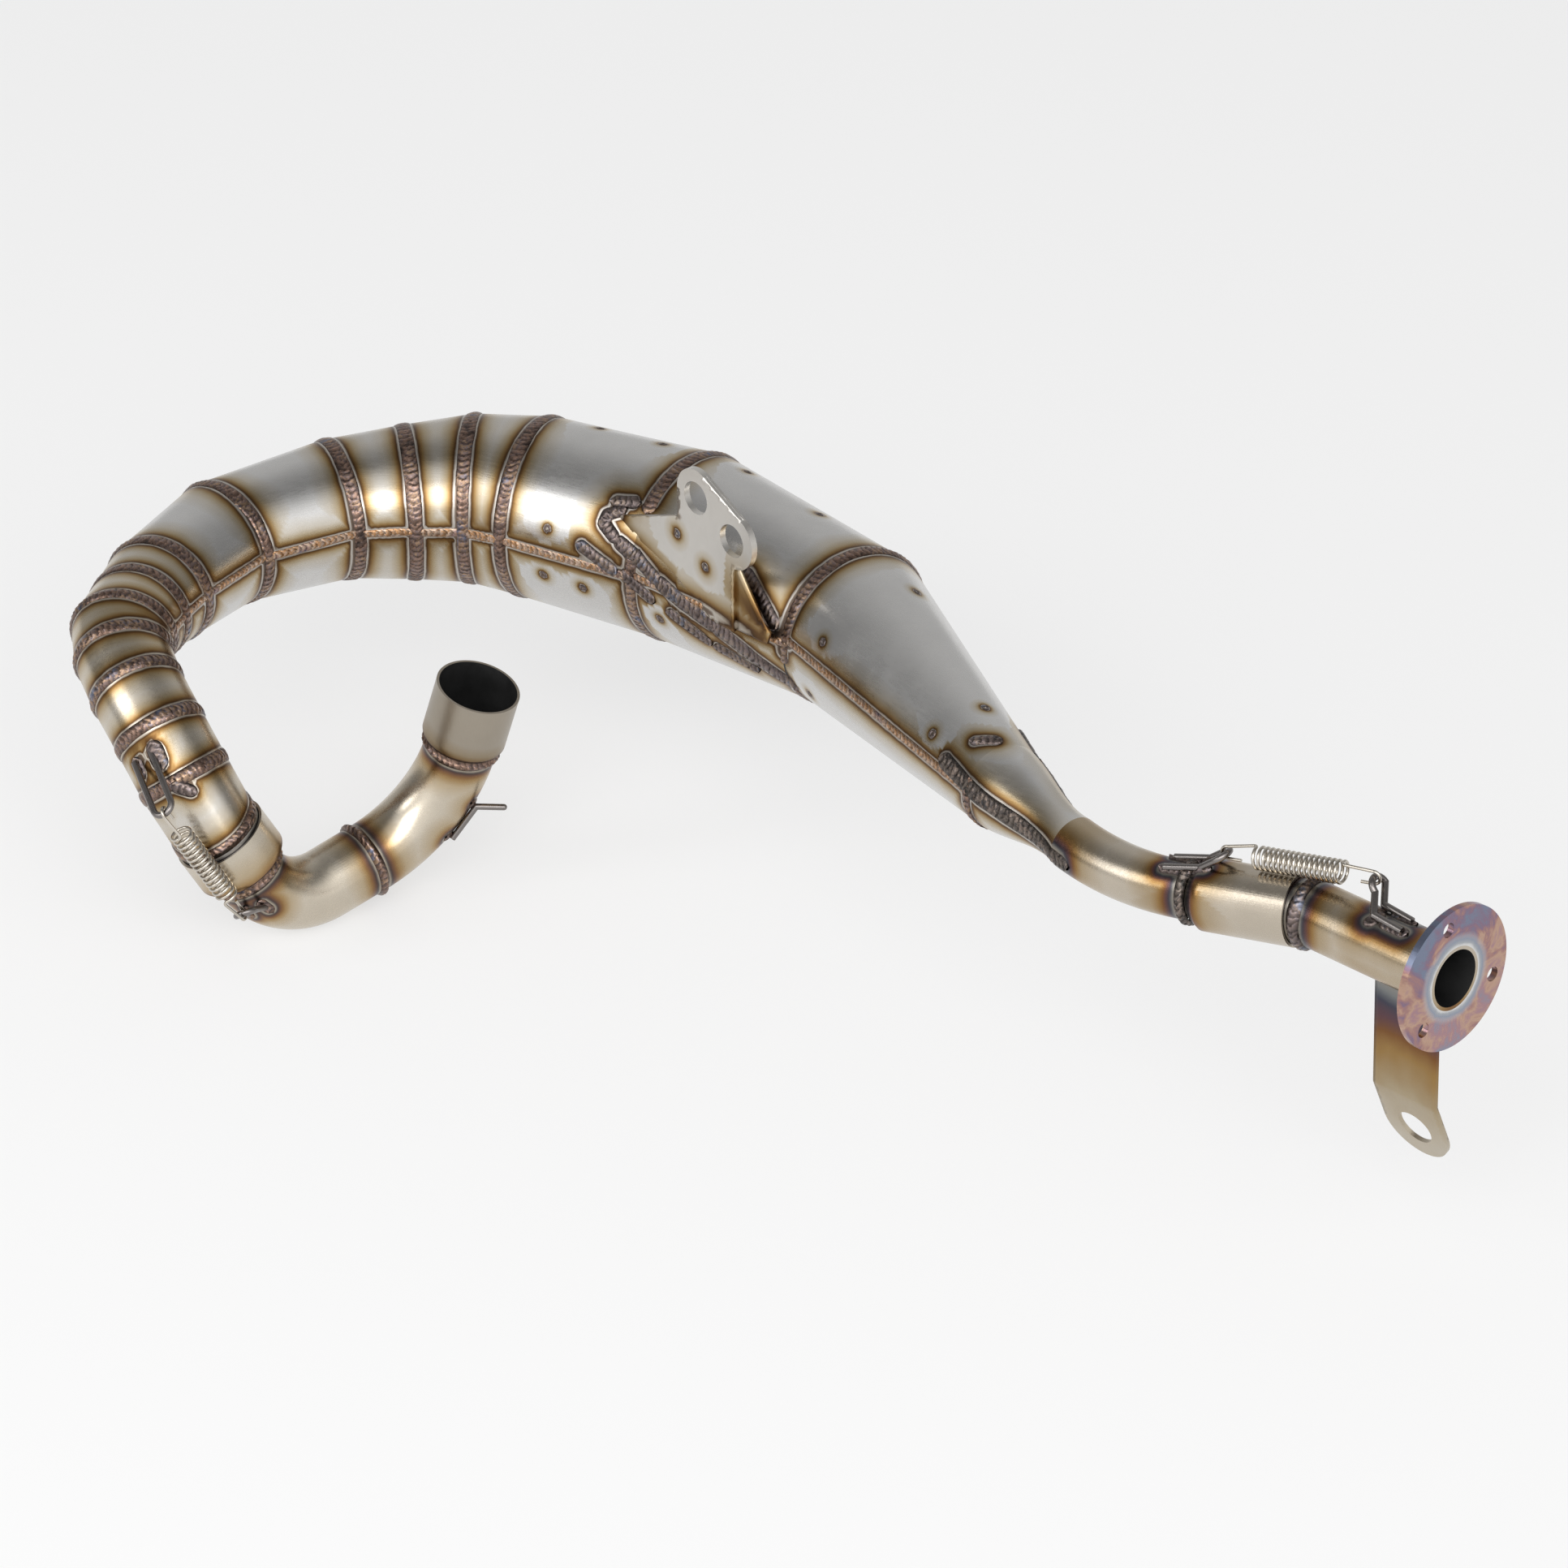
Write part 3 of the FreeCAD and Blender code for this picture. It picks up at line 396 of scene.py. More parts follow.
weld_metal = bead_metal("weld_metal", [
    (0.05, 0.042, 0.042), (0.13, 0.092, 0.078), (0.28, 0.18, 0.135), (0.16, 0.125, 0.125),
    (0.36, 0.235, 0.15), (0.20, 0.17, 0.185), (0.13, 0.16, 0.24)], 0.22)
seam_metal = bead_metal("seam_metal", [
    (0.12, 0.07, 0.05), (0.30, 0.16, 0.09), (0.44, 0.34, 0.27), (0.40, 0.20, 0.08), (0.54, 0.42, 0.33),
    (0.34, 0.22, 0.18), (0.22, 0.20, 0.25)], 0.20)
tack_metal = bead_metal("tack_metal", [
    (0.05, 0.045, 0.05), (0.13, 0.105, 0.10), (0.20, 0.155, 0.14), (0.16, 0.135, 0.14), (0.24, 0.18, 0.14),
    (0.17, 0.16, 0.18), (0.13, 0.15, 0.20)], 0.24)
sooty_metal = bead_metal("sooty_metal", [
    (0.02, 0.02, 0.02), (0.06, 0.055, 0.05), (0.17, 0.14, 0.12), (0.06, 0.055, 0.055), (0.24, 0.19, 0.16),
    (0.08, 0.07, 0.065), (0.05, 0.055, 0.065)], 0.26)

# %% [markdown]
# The flange was welded from behind and got hot all over, so it shows every colour at once: a bright ring
# and a blue one round the bore, then copper, pink and violet clouds. Its `weld_mm` is the distance from
# the bore. The inside of the pipe is near black, partly real oily soot and partly painted shade: a plain
# dull finish with some grain.

# %% Flange steel, and soot with painted shade
flange_steel, tree, shade = new_material("flange_steel")
where = add(tree, "ShaderNodeTexCoord").outputs["Object"]
cloud = noise_at(tree, where, Scale=55.0, Detail=4.0, Roughness=0.6, Distortion=0.6)
place = add(tree, "ShaderNodeSeparateXYZ")
link(tree, where, place.inputs[0])
flange_middle = Vector(mount["silencer_flange"]["pos_m"])
flange_axis = Vector(mount["silencer_flange"]["axis"]).normalized()
above = math_node(tree, "MULTIPLY", math_node(tree, "SUBTRACT", place.outputs[2], flange_middle.z), -4.0)
mottle = ramp(tree, math_node(tree, "ADD", cloud, above), [
    (0.30, (0.20, 0.23, 0.32)), (0.40, (0.25, 0.17, 0.24)), (0.47, (0.39, 0.22, 0.20)),
    (0.53, (0.52, 0.34, 0.25)), (0.60, (0.40, 0.24, 0.26)), (0.70, (0.27, 0.28, 0.36))])
bore_mm = add(tree, "ShaderNodeAttribute", attribute_name="weld_mm").outputs["Fac"]
drift = math_node(tree, "MULTIPLY", cloud, 4.0)
from_bore = math_node(tree, "DIVIDE", math_node(tree, "ADD", bore_mm, drift), 18.0, clamp=True)
halo = ramp(tree, from_bore, [
    (0.0, (0.80, 0.79, 0.77)), (0.13, (0.66, 0.66, 0.66)), (0.18, (0.40, 0.42, 0.45)),
    (0.26, (0.30, 0.33, 0.40)), (0.36, (0.45, 0.44, 0.47)), (0.46, (0.50, 0.38, 0.34))])
away = ramp(tree, from_bore, [(0.26, 0.0), (0.46, 1.0)])
link(tree, mix_colour(tree, away, halo, mottle), shade.inputs["Base Color"])
marks = place_group(tree, scour, Rough=0.30, Stretch=(500, 500, 500))
link(tree, marks.outputs["Roughness"], shade.inputs["Roughness"])
# Near-black material, partly real soot and partly painted shade, for the shaded insides of the tubes and the
# gap under the bracket's foot
soot_and_painted_shade, tree, shade = new_material("soot_and_painted_shade", 0.0)
marks = place_group(tree, scour, Rough=0.55, Stretch=(300, 300, 300))
link(tree, ramp(tree, marks.outputs["Cloud"], [(0.3, 0.004), (0.7, 0.02)]), shade.inputs["Base Color"])
link(tree, marks.outputs["Roughness"], shade.inputs["Roughness"])

# %% [markdown]
# The beads follow the cuts, so the cuts come first. The chamber is a row of rolled cones, each cut at
# both ends on a slant that halves the turn to the next. The cut list below is the sheet-metal worker's
# own: length, heading and climb in degrees, and the diameter at the far end, in millimetres. Walking it
# from the slip joint gives every cut plane.

# %% Walk the cut list
CUT_LIST = (
    ("header_a", 26, 152, 56, 42.5), ("header_b", 23, 132, 44, 42.5), ("header_c", 24, 124, 31, 43),
    ("header_d", 20, 114, 21, 44), ("header_e", 15, 96, 15, 47), ("diffuser_f", 20, 76, 0, 48),
    ("diffuser_g", 23, 73, 0, 53), ("diffuser_h", 53.5, 62, 0, 60), ("diffuser_i", 61, 34, 0, 67),
    ("diffuser_j", 34.5, 12, 0, 74), ("diffuser_k", 31, 8, 0, 80.5), ("diffuser_l", 33, -15, 0, 87),
    ("belly_m", 84.5, -29, 0, 91.5), ("belly_n", 109, -46, 0, 77), ("baffle_cone", 155, -66, 0, 38))
SPIGOT_OUT, SPIGOT_DIAMETER, SHEET = 5.0, 40.4, 1.2
HOOD_HEADING, HOOD_LENGTH = -59, 53.0
UP = Vector((0, 0, 1))


def heading(turn, climb):
    h, c = math.radians(turn), math.radians(climb)
    return Vector((math.cos(h) * math.cos(c), math.sin(h) * math.cos(c), math.sin(c)))


def square_to(v, d):
    return (v - d * v.dot(d)).normalized()


slip = joint["manifold_swivel"]
slip_mouth, slip_dir = Vector(slip["pos_m"]), Vector(slip["axis"]).normalized()
station = slip_mouth + slip_dir * SPIGOT_OUT * MM
points, radii, dirs = [station], [SPIGOT_DIAMETER / 2 * MM], []
for name, length, turn, climb, far in CUT_LIST:
    dirs.append(heading(turn, climb))
    station = station + dirs[-1] * length * MM
    points.append(station)
    radii.append(far / 2 * MM)
hood_dir = heading(HOOD_HEADING, 0)
dirs.append(hood_dir)
normals = [slip_dir] + [(a + b).normalized() for a, b in zip(dirs, dirs[1:])]
SEGMENT = {row[0]: i for i, row in enumerate(CUT_LIST)}
print("last station", [round(c, 4) for c in points[-1]])


def out_of(i, clock):
    """The way out of segment i at a clock angle: 0 is up, 90 the inside of the bend."""
    top, a = square_to(UP, dirs[i]), math.radians(clock)
    return top * math.cos(a) + dirs[i].cross(top) * math.sin(a)


def on_cut(k, i, clock, grow=0.0):
    """The point of segment i on the cut plane k."""
    e, d, n, r = out_of(i, clock), dirs[i], normals[k], radii[k] + grow
    return points[k] + e * r - d * (r * e.dot(n) / d.dot(n))


def on_segment(name, along, clock):
    """A point on a segment's outside, with the way out."""
    i = SEGMENT[name]
    a, b = on_cut(i, i, clock), on_cut(i + 1, i, clock)
    start, end = (a - points[i]).dot(dirs[i]), (b - points[i]).dot(dirs[i])
    return a + (b - a) * ((along * MM - start) / (end - start)), out_of(i, clock)


# %% [markdown]
# Each rolled segment is shown as a fine grid of the same ruled surface as its solid, with both walls and
# closed ends. The fine grid is there for the heat colours, which need points between the two cuts.

# %% Rolled segments
GRID = 2.0 * MM


def rolled(name):
    i = SEGMENT[name]
    columns = max(48, int(2 * math.pi * max(radii[i], radii[i + 1]) / GRID))
    rows = max(5, int(CUT_LIST[i][1] * MM / GRID))
    clocks = [360 * c / columns for c in range(columns)]
    verts, faces = [], []
    for t in range(rows + 1):
        verts += [on_cut(i, i, c).lerp(on_cut(i + 1, i, c), t / rows) for c in clocks]
    for t in (rows, 0):
        k = i + 1 if t else i
        verts += [on_cut(k, i, c, -SHEET * MM) for c in clocks]
    loops = rows + 3
    for t in range(loops):
        for c in range(columns):
            a, b = t * columns + c, t * columns + (c + 1) % columns
            far = ((t + 1) % loops) * columns - t * columns
            faces.append((a, a + far, b + far, b))
    mesh = bpy.data.meshes.new(name + "_rolled")
    mesh.from_pydata(verts, [], faces)
    mesh.polygons.foreach_set("use_smooth", [True] * len(faces))
    mesh.set_sharp_from_angle(angle=math.radians(35))
    made = bpy.data.objects.new(name + "_rolled", mesh)
    scene.collection.objects.link(made)
    return made


segments = {name: rolled(name) for name in SEGMENT}
first = segments["belly_m"].data
outward = first.polygons[10].normal.dot(first.polygons[10].center - points[SEGMENT["belly_m"]])
print("segments", len(segments), "faces", sum(len(o.data.polygons) for o in segments.values()), "outward",
      outward > 0)

# %% [markdown]
# The other sheet and tube pieces keep their solids' own surfaces. A copy is merged, long triangles are
# cut shorter, and the copy is shown in the solid's place.

# %% Copies of the tubes, sleeves and plates
LONGEST = 4.0 * MM
MOST_FACES = 40000


def copied(node):
    piece = bmesh.new()
    piece.from_mesh(cad[node].data)
    bmesh.ops.remove_doubles(piece, verts=piece.verts, dist=1e-6)
    for _ in range(5):
        long = [e for e in piece.edges if e.calc_length() > LONGEST]
        if not long or len(piece.faces) > MOST_FACES:
            break
        bmesh.ops.subdivide_edges(piece, edges=long, cuts=1)
        bmesh.ops.triangulate(piece, faces=[f for f in piece.faces if len(f.verts) > 3])
    for f in piece.faces:
        f.smooth = True
    mesh = bpy.data.meshes.new(node + "_copy")
    piece.to_mesh(mesh)
    piece.free()
    mesh.set_sharp_from_angle(angle=math.radians(32))
    made = bpy.data.objects.new(node + "_copy", mesh)
    scene.collection.objects.link(made)
    return made


WIRE = [n for n in cad if n.endswith("_hook") or n in ("manifold_spring", "tail_spring")]
sheet = [n for n in cad if n not in WIRE and n not in SEGMENT and "weld" not in n]
copies = {n: copied(n) for n in sheet}
print("copies", len(copies), "faces", sum(len(o.data.polygons) for o in copies.values()))

# %% [markdown]
# The beads. A welder lays a bead as a row of overlapping pools, so it reads as a stack of crescents. Each
# bead has a path on the skin and a half width. A Geometry Nodes tree sweeps a flat strip along the path,
# drops it onto the skin of the pipe, and lifts it in crescents.

# %% Skins that the beads lie on
MANIFOLD_WELDS = ["manifold_weld_inlet", "manifold_weld_elbow", "manifold_weld_slip"]
TUBE_WELDS = [n for n in cad if n in MANIFOLD_WELDS + ["stinger_weld", "tail_weld"]]
FAR_OUT = 60 * MM
skins, skin_bvh = {}, {}
for body in ("chamber", "manifold", "tail"):
    joined = bmesh.new()
    for n, o in {**segments, **copies}.items():
        if cad[n]["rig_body"] == body:
            joined.from_mesh(o.data)
    for n in TUBE_WELDS:
        if cad[n]["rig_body"] == body:
            joined.from_mesh(cad[n].data)
    skin_bvh[body] = BVHTree.FromBMesh(joined)
    mesh = bpy.data.meshes.new(body + "_skin")
    joined.to_mesh(mesh)
    joined.free()
    skins[body] = bpy.data.objects.new(body + "_skin", mesh)
    scene.collection.objects.link(skins[body])


# %% Paths of the beads
def ring_path(node, steps=120):
    """Points round the crown of a tube's girth bead, with the way out of the tube at each."""
    co = np.array([v.co for v in cad[node].data.vertices])
    middle = co.mean(0)
    pull = np.linalg.svd(co - middle, full_matrices=False)[2]
    u, v = Vector(pull[0]), Vector(pull[2]).cross(Vector(pull[0]))
    tree = BVHTree.FromPolygons([tuple(c) for c in co], [tuple(p.vertices) for p in cad[node].data.polygons])
    run = []
    for i in range(steps + 1):
        a = 2 * math.pi * i / steps
        out = u * math.cos(a) + v * math.sin(a)
        hit = tree.ray_cast(Vector(middle) + out * FAR_OUT, -out, FAR_OUT - 2 * MM)[0]
        if hit is not None:
            run.append((hit, out))
    return run


def cut_path(k, start=0, end=360, step=3):
    i = min(k, len(CUT_LIST) - 1)
    return [(on_cut(k, i, c), out_of(i, c)) for c in range(start, end + 1, step)]


SEAM_CLOCK = {"diffuser_i": 84, "diffuser_j": 85, "diffuser_k": 86, "diffuser_l": 86, "belly_m": 86,
              "belly_n": 84, "baffle_cone": 80}


def seam_path(name):
    length, clock = CUT_LIST[SEGMENT[name]][1], SEAM_CLOCK.get(name, 82)
    return [on_segment(name, length * t / 12, clock) for t in range(13)]


def laid(*marks):
    """A path through marks, each a point with its way out, filled in between."""
    run = []
    for (p, e), (q, f) in zip(marks, marks[1:]):
        run += [(p.lerp(q, t / 8), e.lerp(f, t / 8).normalized()) for t in range(8)]
    return run + [marks[-1]]


at = on_segment
girth = [(cut_path(k), 3.4 if k < 7 else 3.8) for k in range(13)]
# The last three rings stop at the bracket and at the hood; under the bracket's foot on ring 14 a thin
# near-black strip is painted shade in the gap
girth += [(cut_path(13, 72, 402), 3.8), (cut_path(14, 130, 456), 3.8), (cut_path(15, 70, 290), 3.4)]
foot_gap = [(cut_path(14, 97, 130), 0.9)]
seams = [(seam_path(name), 2.2) for name in list(SEGMENT)[5:]]
bracket_runs = [
    (laid(at("belly_m", 63, 43.5), at("belly_m", 72, 41.5)), 3.4),
    (laid(at("belly_m", 66.5, 48.5), at("belly_m", 60.5, 52.5), at("belly_m", 60, 58),
          at("belly_m", 66.5, 64)), 3.6),
    (laid(at("belly_m", 71, 67), at("belly_m", 81, 73), at("belly_n", 8, 71), at("belly_n", 22, 79)), 4.0),
    (laid(at("belly_n", 27, 81.5), at("belly_n", 40, 87), at("belly_n", 58, 93)), 4.4),
    (laid(at("belly_n", 63, 95), at("belly_n", 86, 108), at("belly_n", 104, 118)), 4.4),
    (laid(at("belly_m", 51, 75), at("belly_m", 68, 84)), 3.4),
    (laid(at("belly_n", 3, 85), at("belly_n", 20, 94)), 3.0),
    (laid(at("belly_n", 33, 98), at("belly_n", 54, 109)), 2.7),
    (laid(at("belly_n", 60, 111), at("belly_n", 81, 118)), 2.6),
    (laid(at("belly_n", 72, 53), at("belly_n", 94, 73)), 4.4)]
tacks = [(laid(at("header_b", 8, -77), at("header_b", 13, -75)), 3.0),
         (laid(at("header_b", 8, -46), at("header_b", 14, -44)), 4.2),
         (laid(at("header_a", 22, -46), at("header_a", 27, -58)), 3.2),
         (laid(at("baffle_cone", 143, 24), at("baffle_cone", 148, 2)), 2.8)]

# Edges of the hood: the plane that parts the two shells, looked at from both sides
hood_start = points[15]
low = hood_start - hood_dir * 0.020 + UP * 0.008
high = hood_start + hood_dir * (HOOD_LENGTH + 8) * MM - UP * 0.0025
across = UP.cross(hood_dir)
hood_runs = []
for side in (-1, 1):
    run = []
    for t in range(25):
        p = low.lerp(high, t / 24)
        hit, way = skin_bvh["chamber"].ray_cast(p + across * side * FAR_OUT, across * -side, FAR_OUT)[:2]
        if hit is not None:
            run.append((hit, way if way.dot(across) * side > 0 else -way))
    hood_runs.append((run, 4.3))
tubes = {"manifold": [(ring_path(n), 2.7) for n in MANIFOLD_WELDS],
         "tail": [(ring_path("tail_weld"), 3.2)], "stinger": [(ring_path("stinger_weld"), 2.8)]}
print("girth", len(girth), "seams", len(seams), "bracket", len(bracket_runs), "hood",
      [len(r[0]) for r in hood_runs])


# %% Bead tree
def bead_tree():
    """Sweeps a flat strip along the rails, lays it on the skin and lifts it in crescents."""
    made = bpy.data.node_groups.new("bead", "GeometryNodeTree")
    face = made.interface
    face.new_socket("Geometry", in_out="INPUT", socket_type="NodeSocketGeometry")
    for label, kind, value in (("Skin", "NodeSocketObject", None), ("Step", "NodeSocketFloat", 0.0006),
                               ("Ripple Pitch", "NodeSocketFloat", 0.0030),
                               ("Crown", "NodeSocketFloat", 0.0007),
                               ("Metal", "NodeSocketMaterial", None)):
        socket = face.new_socket(label, in_out="INPUT", socket_type=kind)
        if value is not None:
            socket.default_value = value
    face.new_socket("Geometry", in_out="OUTPUT", socket_type="NodeSocketGeometry")
    entry, leave = made.nodes.new("NodeGroupInput"), made.nodes.new("NodeGroupOutput")
    g = entry.outputs

    def attribute(name, kind="FLOAT"):
        return add(made, "GeometryNodeInputNamedAttribute", data_type=kind, Name=name).outputs[0]

    def store(geometry, name, value):
        node = add(made, "GeometryNodeStoreNamedAttribute", data_type="FLOAT", Name=name)
        link(made, geometry, node.inputs[0])
        link(made, value, node.inputs["Value"])
        return node.outputs[0]

    curve = add(made, "GeometryNodeMeshToCurve")
    link(made, g["Geometry"], curve.inputs[0])
    even = add(made, "GeometryNodeResampleCurve", mode="LENGTH")
    link(made, curve.outputs[0], even.inputs["Curve"])
    link(made, g["Step"], even.inputs["Length"])
    turn = add(made, "GeometryNodeSetCurveNormal", mode="FREE")
    link(made, even.outputs[0], turn.inputs["Curve"])
    link(made, attribute("out", "FLOAT_VECTOR"), turn.inputs["Normal"])
    far = add(made, "GeometryNodeSplineParameter").outputs["Length"]
    rail = store(turn.outputs[0], "run", far)
    strip = add(made, "GeometryNodeCurvePrimitiveLine")
    strip.inputs["Start"].default_value = (0, -1, 0)
    strip.inputs["End"].default_value = (0, 1, 0)
    slices = add(made, "GeometryNodeResampleCurve", Count=11)
    link(made, strip.outputs[0], slices.inputs["Curve"])
    spot = add(made, "GeometryNodeInputPosition").outputs[0]
    side = add(made, "ShaderNodeSeparateXYZ")
    link(made, spot, side.inputs[0])
    profile = store(slices.outputs[0], "across", side.outputs[1])
    sweep = add(made, "GeometryNodeCurveToMesh")
    link(made, rail, sweep.inputs["Curve"])
    link(made, profile, sweep.inputs["Profile Curve"])
    link(made, attribute("half"), sweep.inputs["Scale"])

    across, run, out = attribute("across"), attribute("run"), attribute("out", "FLOAT_VECTOR")
    square = math_node(made, "MULTIPLY", across, across)
    jitter = add(made, "ShaderNodeTexNoise", Scale=240.0, Detail=2.0)
    wobble = math_node(made, "SUBTRACT", jitter.outputs[0], 0.5)
    phase = math_node(made, "ADD", math_node(made, "DIVIDE", run, g["Ripple Pitch"]),
                      math_node(made, "ADD", math_node(made, "MULTIPLY", square, 0.8),
                                math_node(made, "MULTIPLY", wobble, 1.4)))
    tooth = math_node(made, "FRACT", phase)
    crest = math_node(made, "SUBTRACT", 1.0, math_node(made, "POWER", tooth, 1.6))
    round_top = math_node(made, "POWER", math_node(made, "SUBTRACT", 1.0,
                                                   math_node(made, "MINIMUM", square, 1.0)), 0.55)
    lump = math_node(made, "ADD", 0.55, math_node(made, "ADD", math_node(made, "MULTIPLY", crest, 0.45),
                                                  math_node(made, "MULTIPLY", wobble, 0.5)))
    lift = math_node(made, "MULTIPLY", math_node(made, "MULTIPLY", round_top, lump), g["Crown"])
    lift = math_node(made, "SUBTRACT", lift, 0.0001)
    skin = add(made, "GeometryNodeObjectInfo")
    link(made, g["Skin"], skin.inputs["Object"])
    near = add(made, "GeometryNodeProximity")
    link(made, skin.outputs["Geometry"], near.inputs[0])
    shifted = add(made, "GeometryNodeSetPosition")
    link(made, sweep.outputs[0], shifted.inputs["Geometry"])
    raised = add(made, "ShaderNodeVectorMath", operation="SCALE")
    link(made, out, raised.inputs[0])
    link(made, lift, raised.inputs["Scale"])
    place = add(made, "ShaderNodeVectorMath", operation="ADD")
    link(made, near.outputs["Position"], place.inputs[0])
    link(made, raised.outputs[0], place.inputs[1])
    link(made, place.outputs[0], shifted.inputs["Position"])
    done = store(shifted.outputs[0], "crest", math_node(made, "MULTIPLY", crest, round_top))
    smooth = add(made, "GeometryNodeSetShadeSmooth")
    link(made, done, smooth.inputs[0])
    real = add(made, "GeometryNodeRealizeInstances")
    link(made, smooth.outputs[0], real.inputs[0])
    coat = add(made, "GeometryNodeSetMaterial")
    link(made, real.outputs[0], coat.inputs["Geometry"])
    link(made, g["Metal"], coat.inputs["Material"])
    link(made, coat.outputs[0], leave.inputs[0])
    return made


BEAD = bead_tree()
ENDS_MEET = 0.004
HAND_WOBBLE, WOBBLE_SCALE = 0.16, 90


def rounded(run, wide):
    """Points, ways out and half widths of a run, with the ends of an open run drawn out to a round."""
    full = [(p, out, wide * MM) for p, out in run]
    if len(run) < 3 or (run[0][0] - run[-1][0]).length < ENDS_MEET:
        return full
    head, tail = (run[0][0] - run[1][0]).normalized(), (run[-1][0] - run[-2][0]).normalized()
    ends = [(t, math.sqrt(1 - t * t)) for t in (0.35, 0.65, 0.85, 0.97)]
    before = [(run[0][0] + head * wide * MM * t, run[0][1], wide * MM * h) for t, h in reversed(ends)]
    after = [(run[-1][0] + tail * wide * MM * t, run[-1][1], wide * MM * h) for t, h in ends]
    return before + full + after


def lay_beads(name, body, runs, metal, **sizes):
    """A plain mesh of beads along these runs, laid on a body's skin."""
    mesh = bpy.data.meshes.new(name + "_rails")
    points, edges, outs, halves = [], [], [], []
    for run, wide in runs:
        first = len(points)
        for p, out, half in rounded(run, wide):
            points.append(p)
            outs.extend(out)
            halves.append(half * (1 + HAND_WOBBLE * noise.noise(p * WOBBLE_SCALE)))
        edges += [(i, i + 1) for i in range(first, len(points) - 1)]
    mesh.from_pydata(points, edges, [])
    mesh.attributes.new("out", "FLOAT_VECTOR", "POINT").data.foreach_set("vector", outs)
    mesh.attributes.new("half", "FLOAT", "POINT").data.foreach_set("value", halves)
    rail = bpy.data.objects.new(name + "_rails", mesh)
    scene.collection.objects.link(rail)
    layer = rail.modifiers.new("bead", "NODES")
    layer.node_group = BEAD
    wanted = {"Skin": skins[body], "Metal": metal, **sizes}
    for item in BEAD.interface.items_tree:
        if item.in_out == "INPUT" and item.name in wanted:
            layer[item.identifier] = wanted[item.name]
    bpy.context.view_layer.update()
    plain = bpy.data.meshes.new_from_object(rail.evaluated_get(bpy.context.evaluated_depsgraph_get()))
    bpy.data.objects.remove(rail)
    made = bpy.data.objects.new(name, plain)
    plain.name = name
    scene.collection.objects.link(made)
    plain.materials.clear()
    plain.materials.append(metal)
    print(name, "faces", len(plain.polygons))
    return made


# %% [markdown]
# Hooks are tacked on where their wire touches the pipe. Each touching stretch is found from the distance
# between wire and skin, and gets a short fat bead. The spot marks on the belly are where the sheet was
# first pinned: a bead on a circle of a few millimetres gives their ring.

# %% Tacks and spots
TOUCH, NEIGHBOUR, SHORTEST = 0.0011, 0.0028, 0.0025


def foot_runs(node, body, wide):
    """Short runs along the stretches where a wire lies on the skin."""
    near = [skin_bvh[body].find_nearest(v.co, TOUCH)[:2] for v in cad[node].data.vertices]
    near = [(h, w) for h, w in near if h is not None]
    co = np.array([h for h, w in near])
    left, runs = set(range(len(co))), []
    while left:
        group_now, edge = [], [left.pop()]
        while edge:
            i = edge.pop()
            group_now.append(i)
            close = [j for j in left if np.linalg.norm(co[j] - co[i]) < NEIGHBOUR]
            left.difference_update(close)
            edge += close
        if len(group_now) < 6:
            continue
        spot = co[group_now]
        middle, long = spot.mean(0), np.linalg.svd(spot - spot.mean(0), full_matrices=False)[2][0]
        t = (spot - middle) @ long
        reach = max(np.ptp(t) / 2, SHORTEST)
        way = sum((near[i][1] for i in group_now), Vector()).normalized()
        shift = (t.max() + t.min()) / 2
        runs.append(([(Vector(middle + long * (shift + reach * s / 4)), way) for s in range(-4, 5)], wide))
    return runs


SPOT_RING, SPOT_HALF = 1.35, 0.75


def spot_run(p, out, u):
    """A small closed round on the skin at p; u is any way along the skin."""
    v = out.cross(u)
    return [(p + (u * math.cos(a / 2) + v * math.sin(a / 2)) * SPOT_RING * MM, out) for a in range(14)]


SPOTS = (("belly_m", 27, -19), ("belly_m", 63, -15), ("belly_m", 31, 70), ("belly_m", 29, 102),
         ("belly_m", 51, 103), ("belly_n", 20, -24), ("belly_n", 70, -23), ("belly_n", 24, 107),
         ("baffle_cone", 30, -30), ("baffle_cone", 33, 62), ("baffle_cone", 24, 114),
         ("baffle_cone", 122, 54), ("baffle_cone", 124, -14))
spots = []
for name, along, clock in SPOTS:
    p, out = on_segment(name, along, clock)
    spots.append((spot_run(p, out, square_to(dirs[SEGMENT[name]], out)), SPOT_HALF))

# Two more spots on the bracket's front plate, set out from its upper hole
upper, lower = (Vector(mount[m]["pos_m"]) for m in ("bracket_hole_upper", "bracket_hole_lower"))
plate_n = Vector(mount["bracket_hole_upper"]["axis"]).normalized()
if plate_n.y > 0:
    plate_n = -plate_n
along = square_to(lower - upper, plate_n)
below = square_to(-UP, plate_n)
below = square_to(below - along * below.dot(along), plate_n)
for a, b in ((-2, 27), (20, 27)):
    p = upper + along * a * MM + below * b * MM
    hit = skin_bvh["chamber"].ray_cast(p + plate_n * 0.02, -plate_n, 0.04)[0]
    if hit is not None:
        spots.append((spot_run(hit, plate_n, along), SPOT_HALF))
tacks += foot_runs("stinger_spring_hook", "chamber", 2.7) + foot_runs("header_spring_hook", "chamber", 2.6)
tacks_manifold = foot_runs("manifold_spring_hook", "manifold", 2.8)
tacks_manifold += foot_runs("cylinder_spring_hook", "manifold", 3.0)
tacks_tail = foot_runs("tail_spring_hook", "tail", 2.8)
print("spots", len(spots), "tacks", len(tacks), len(tacks_manifold), len(tacks_tail))

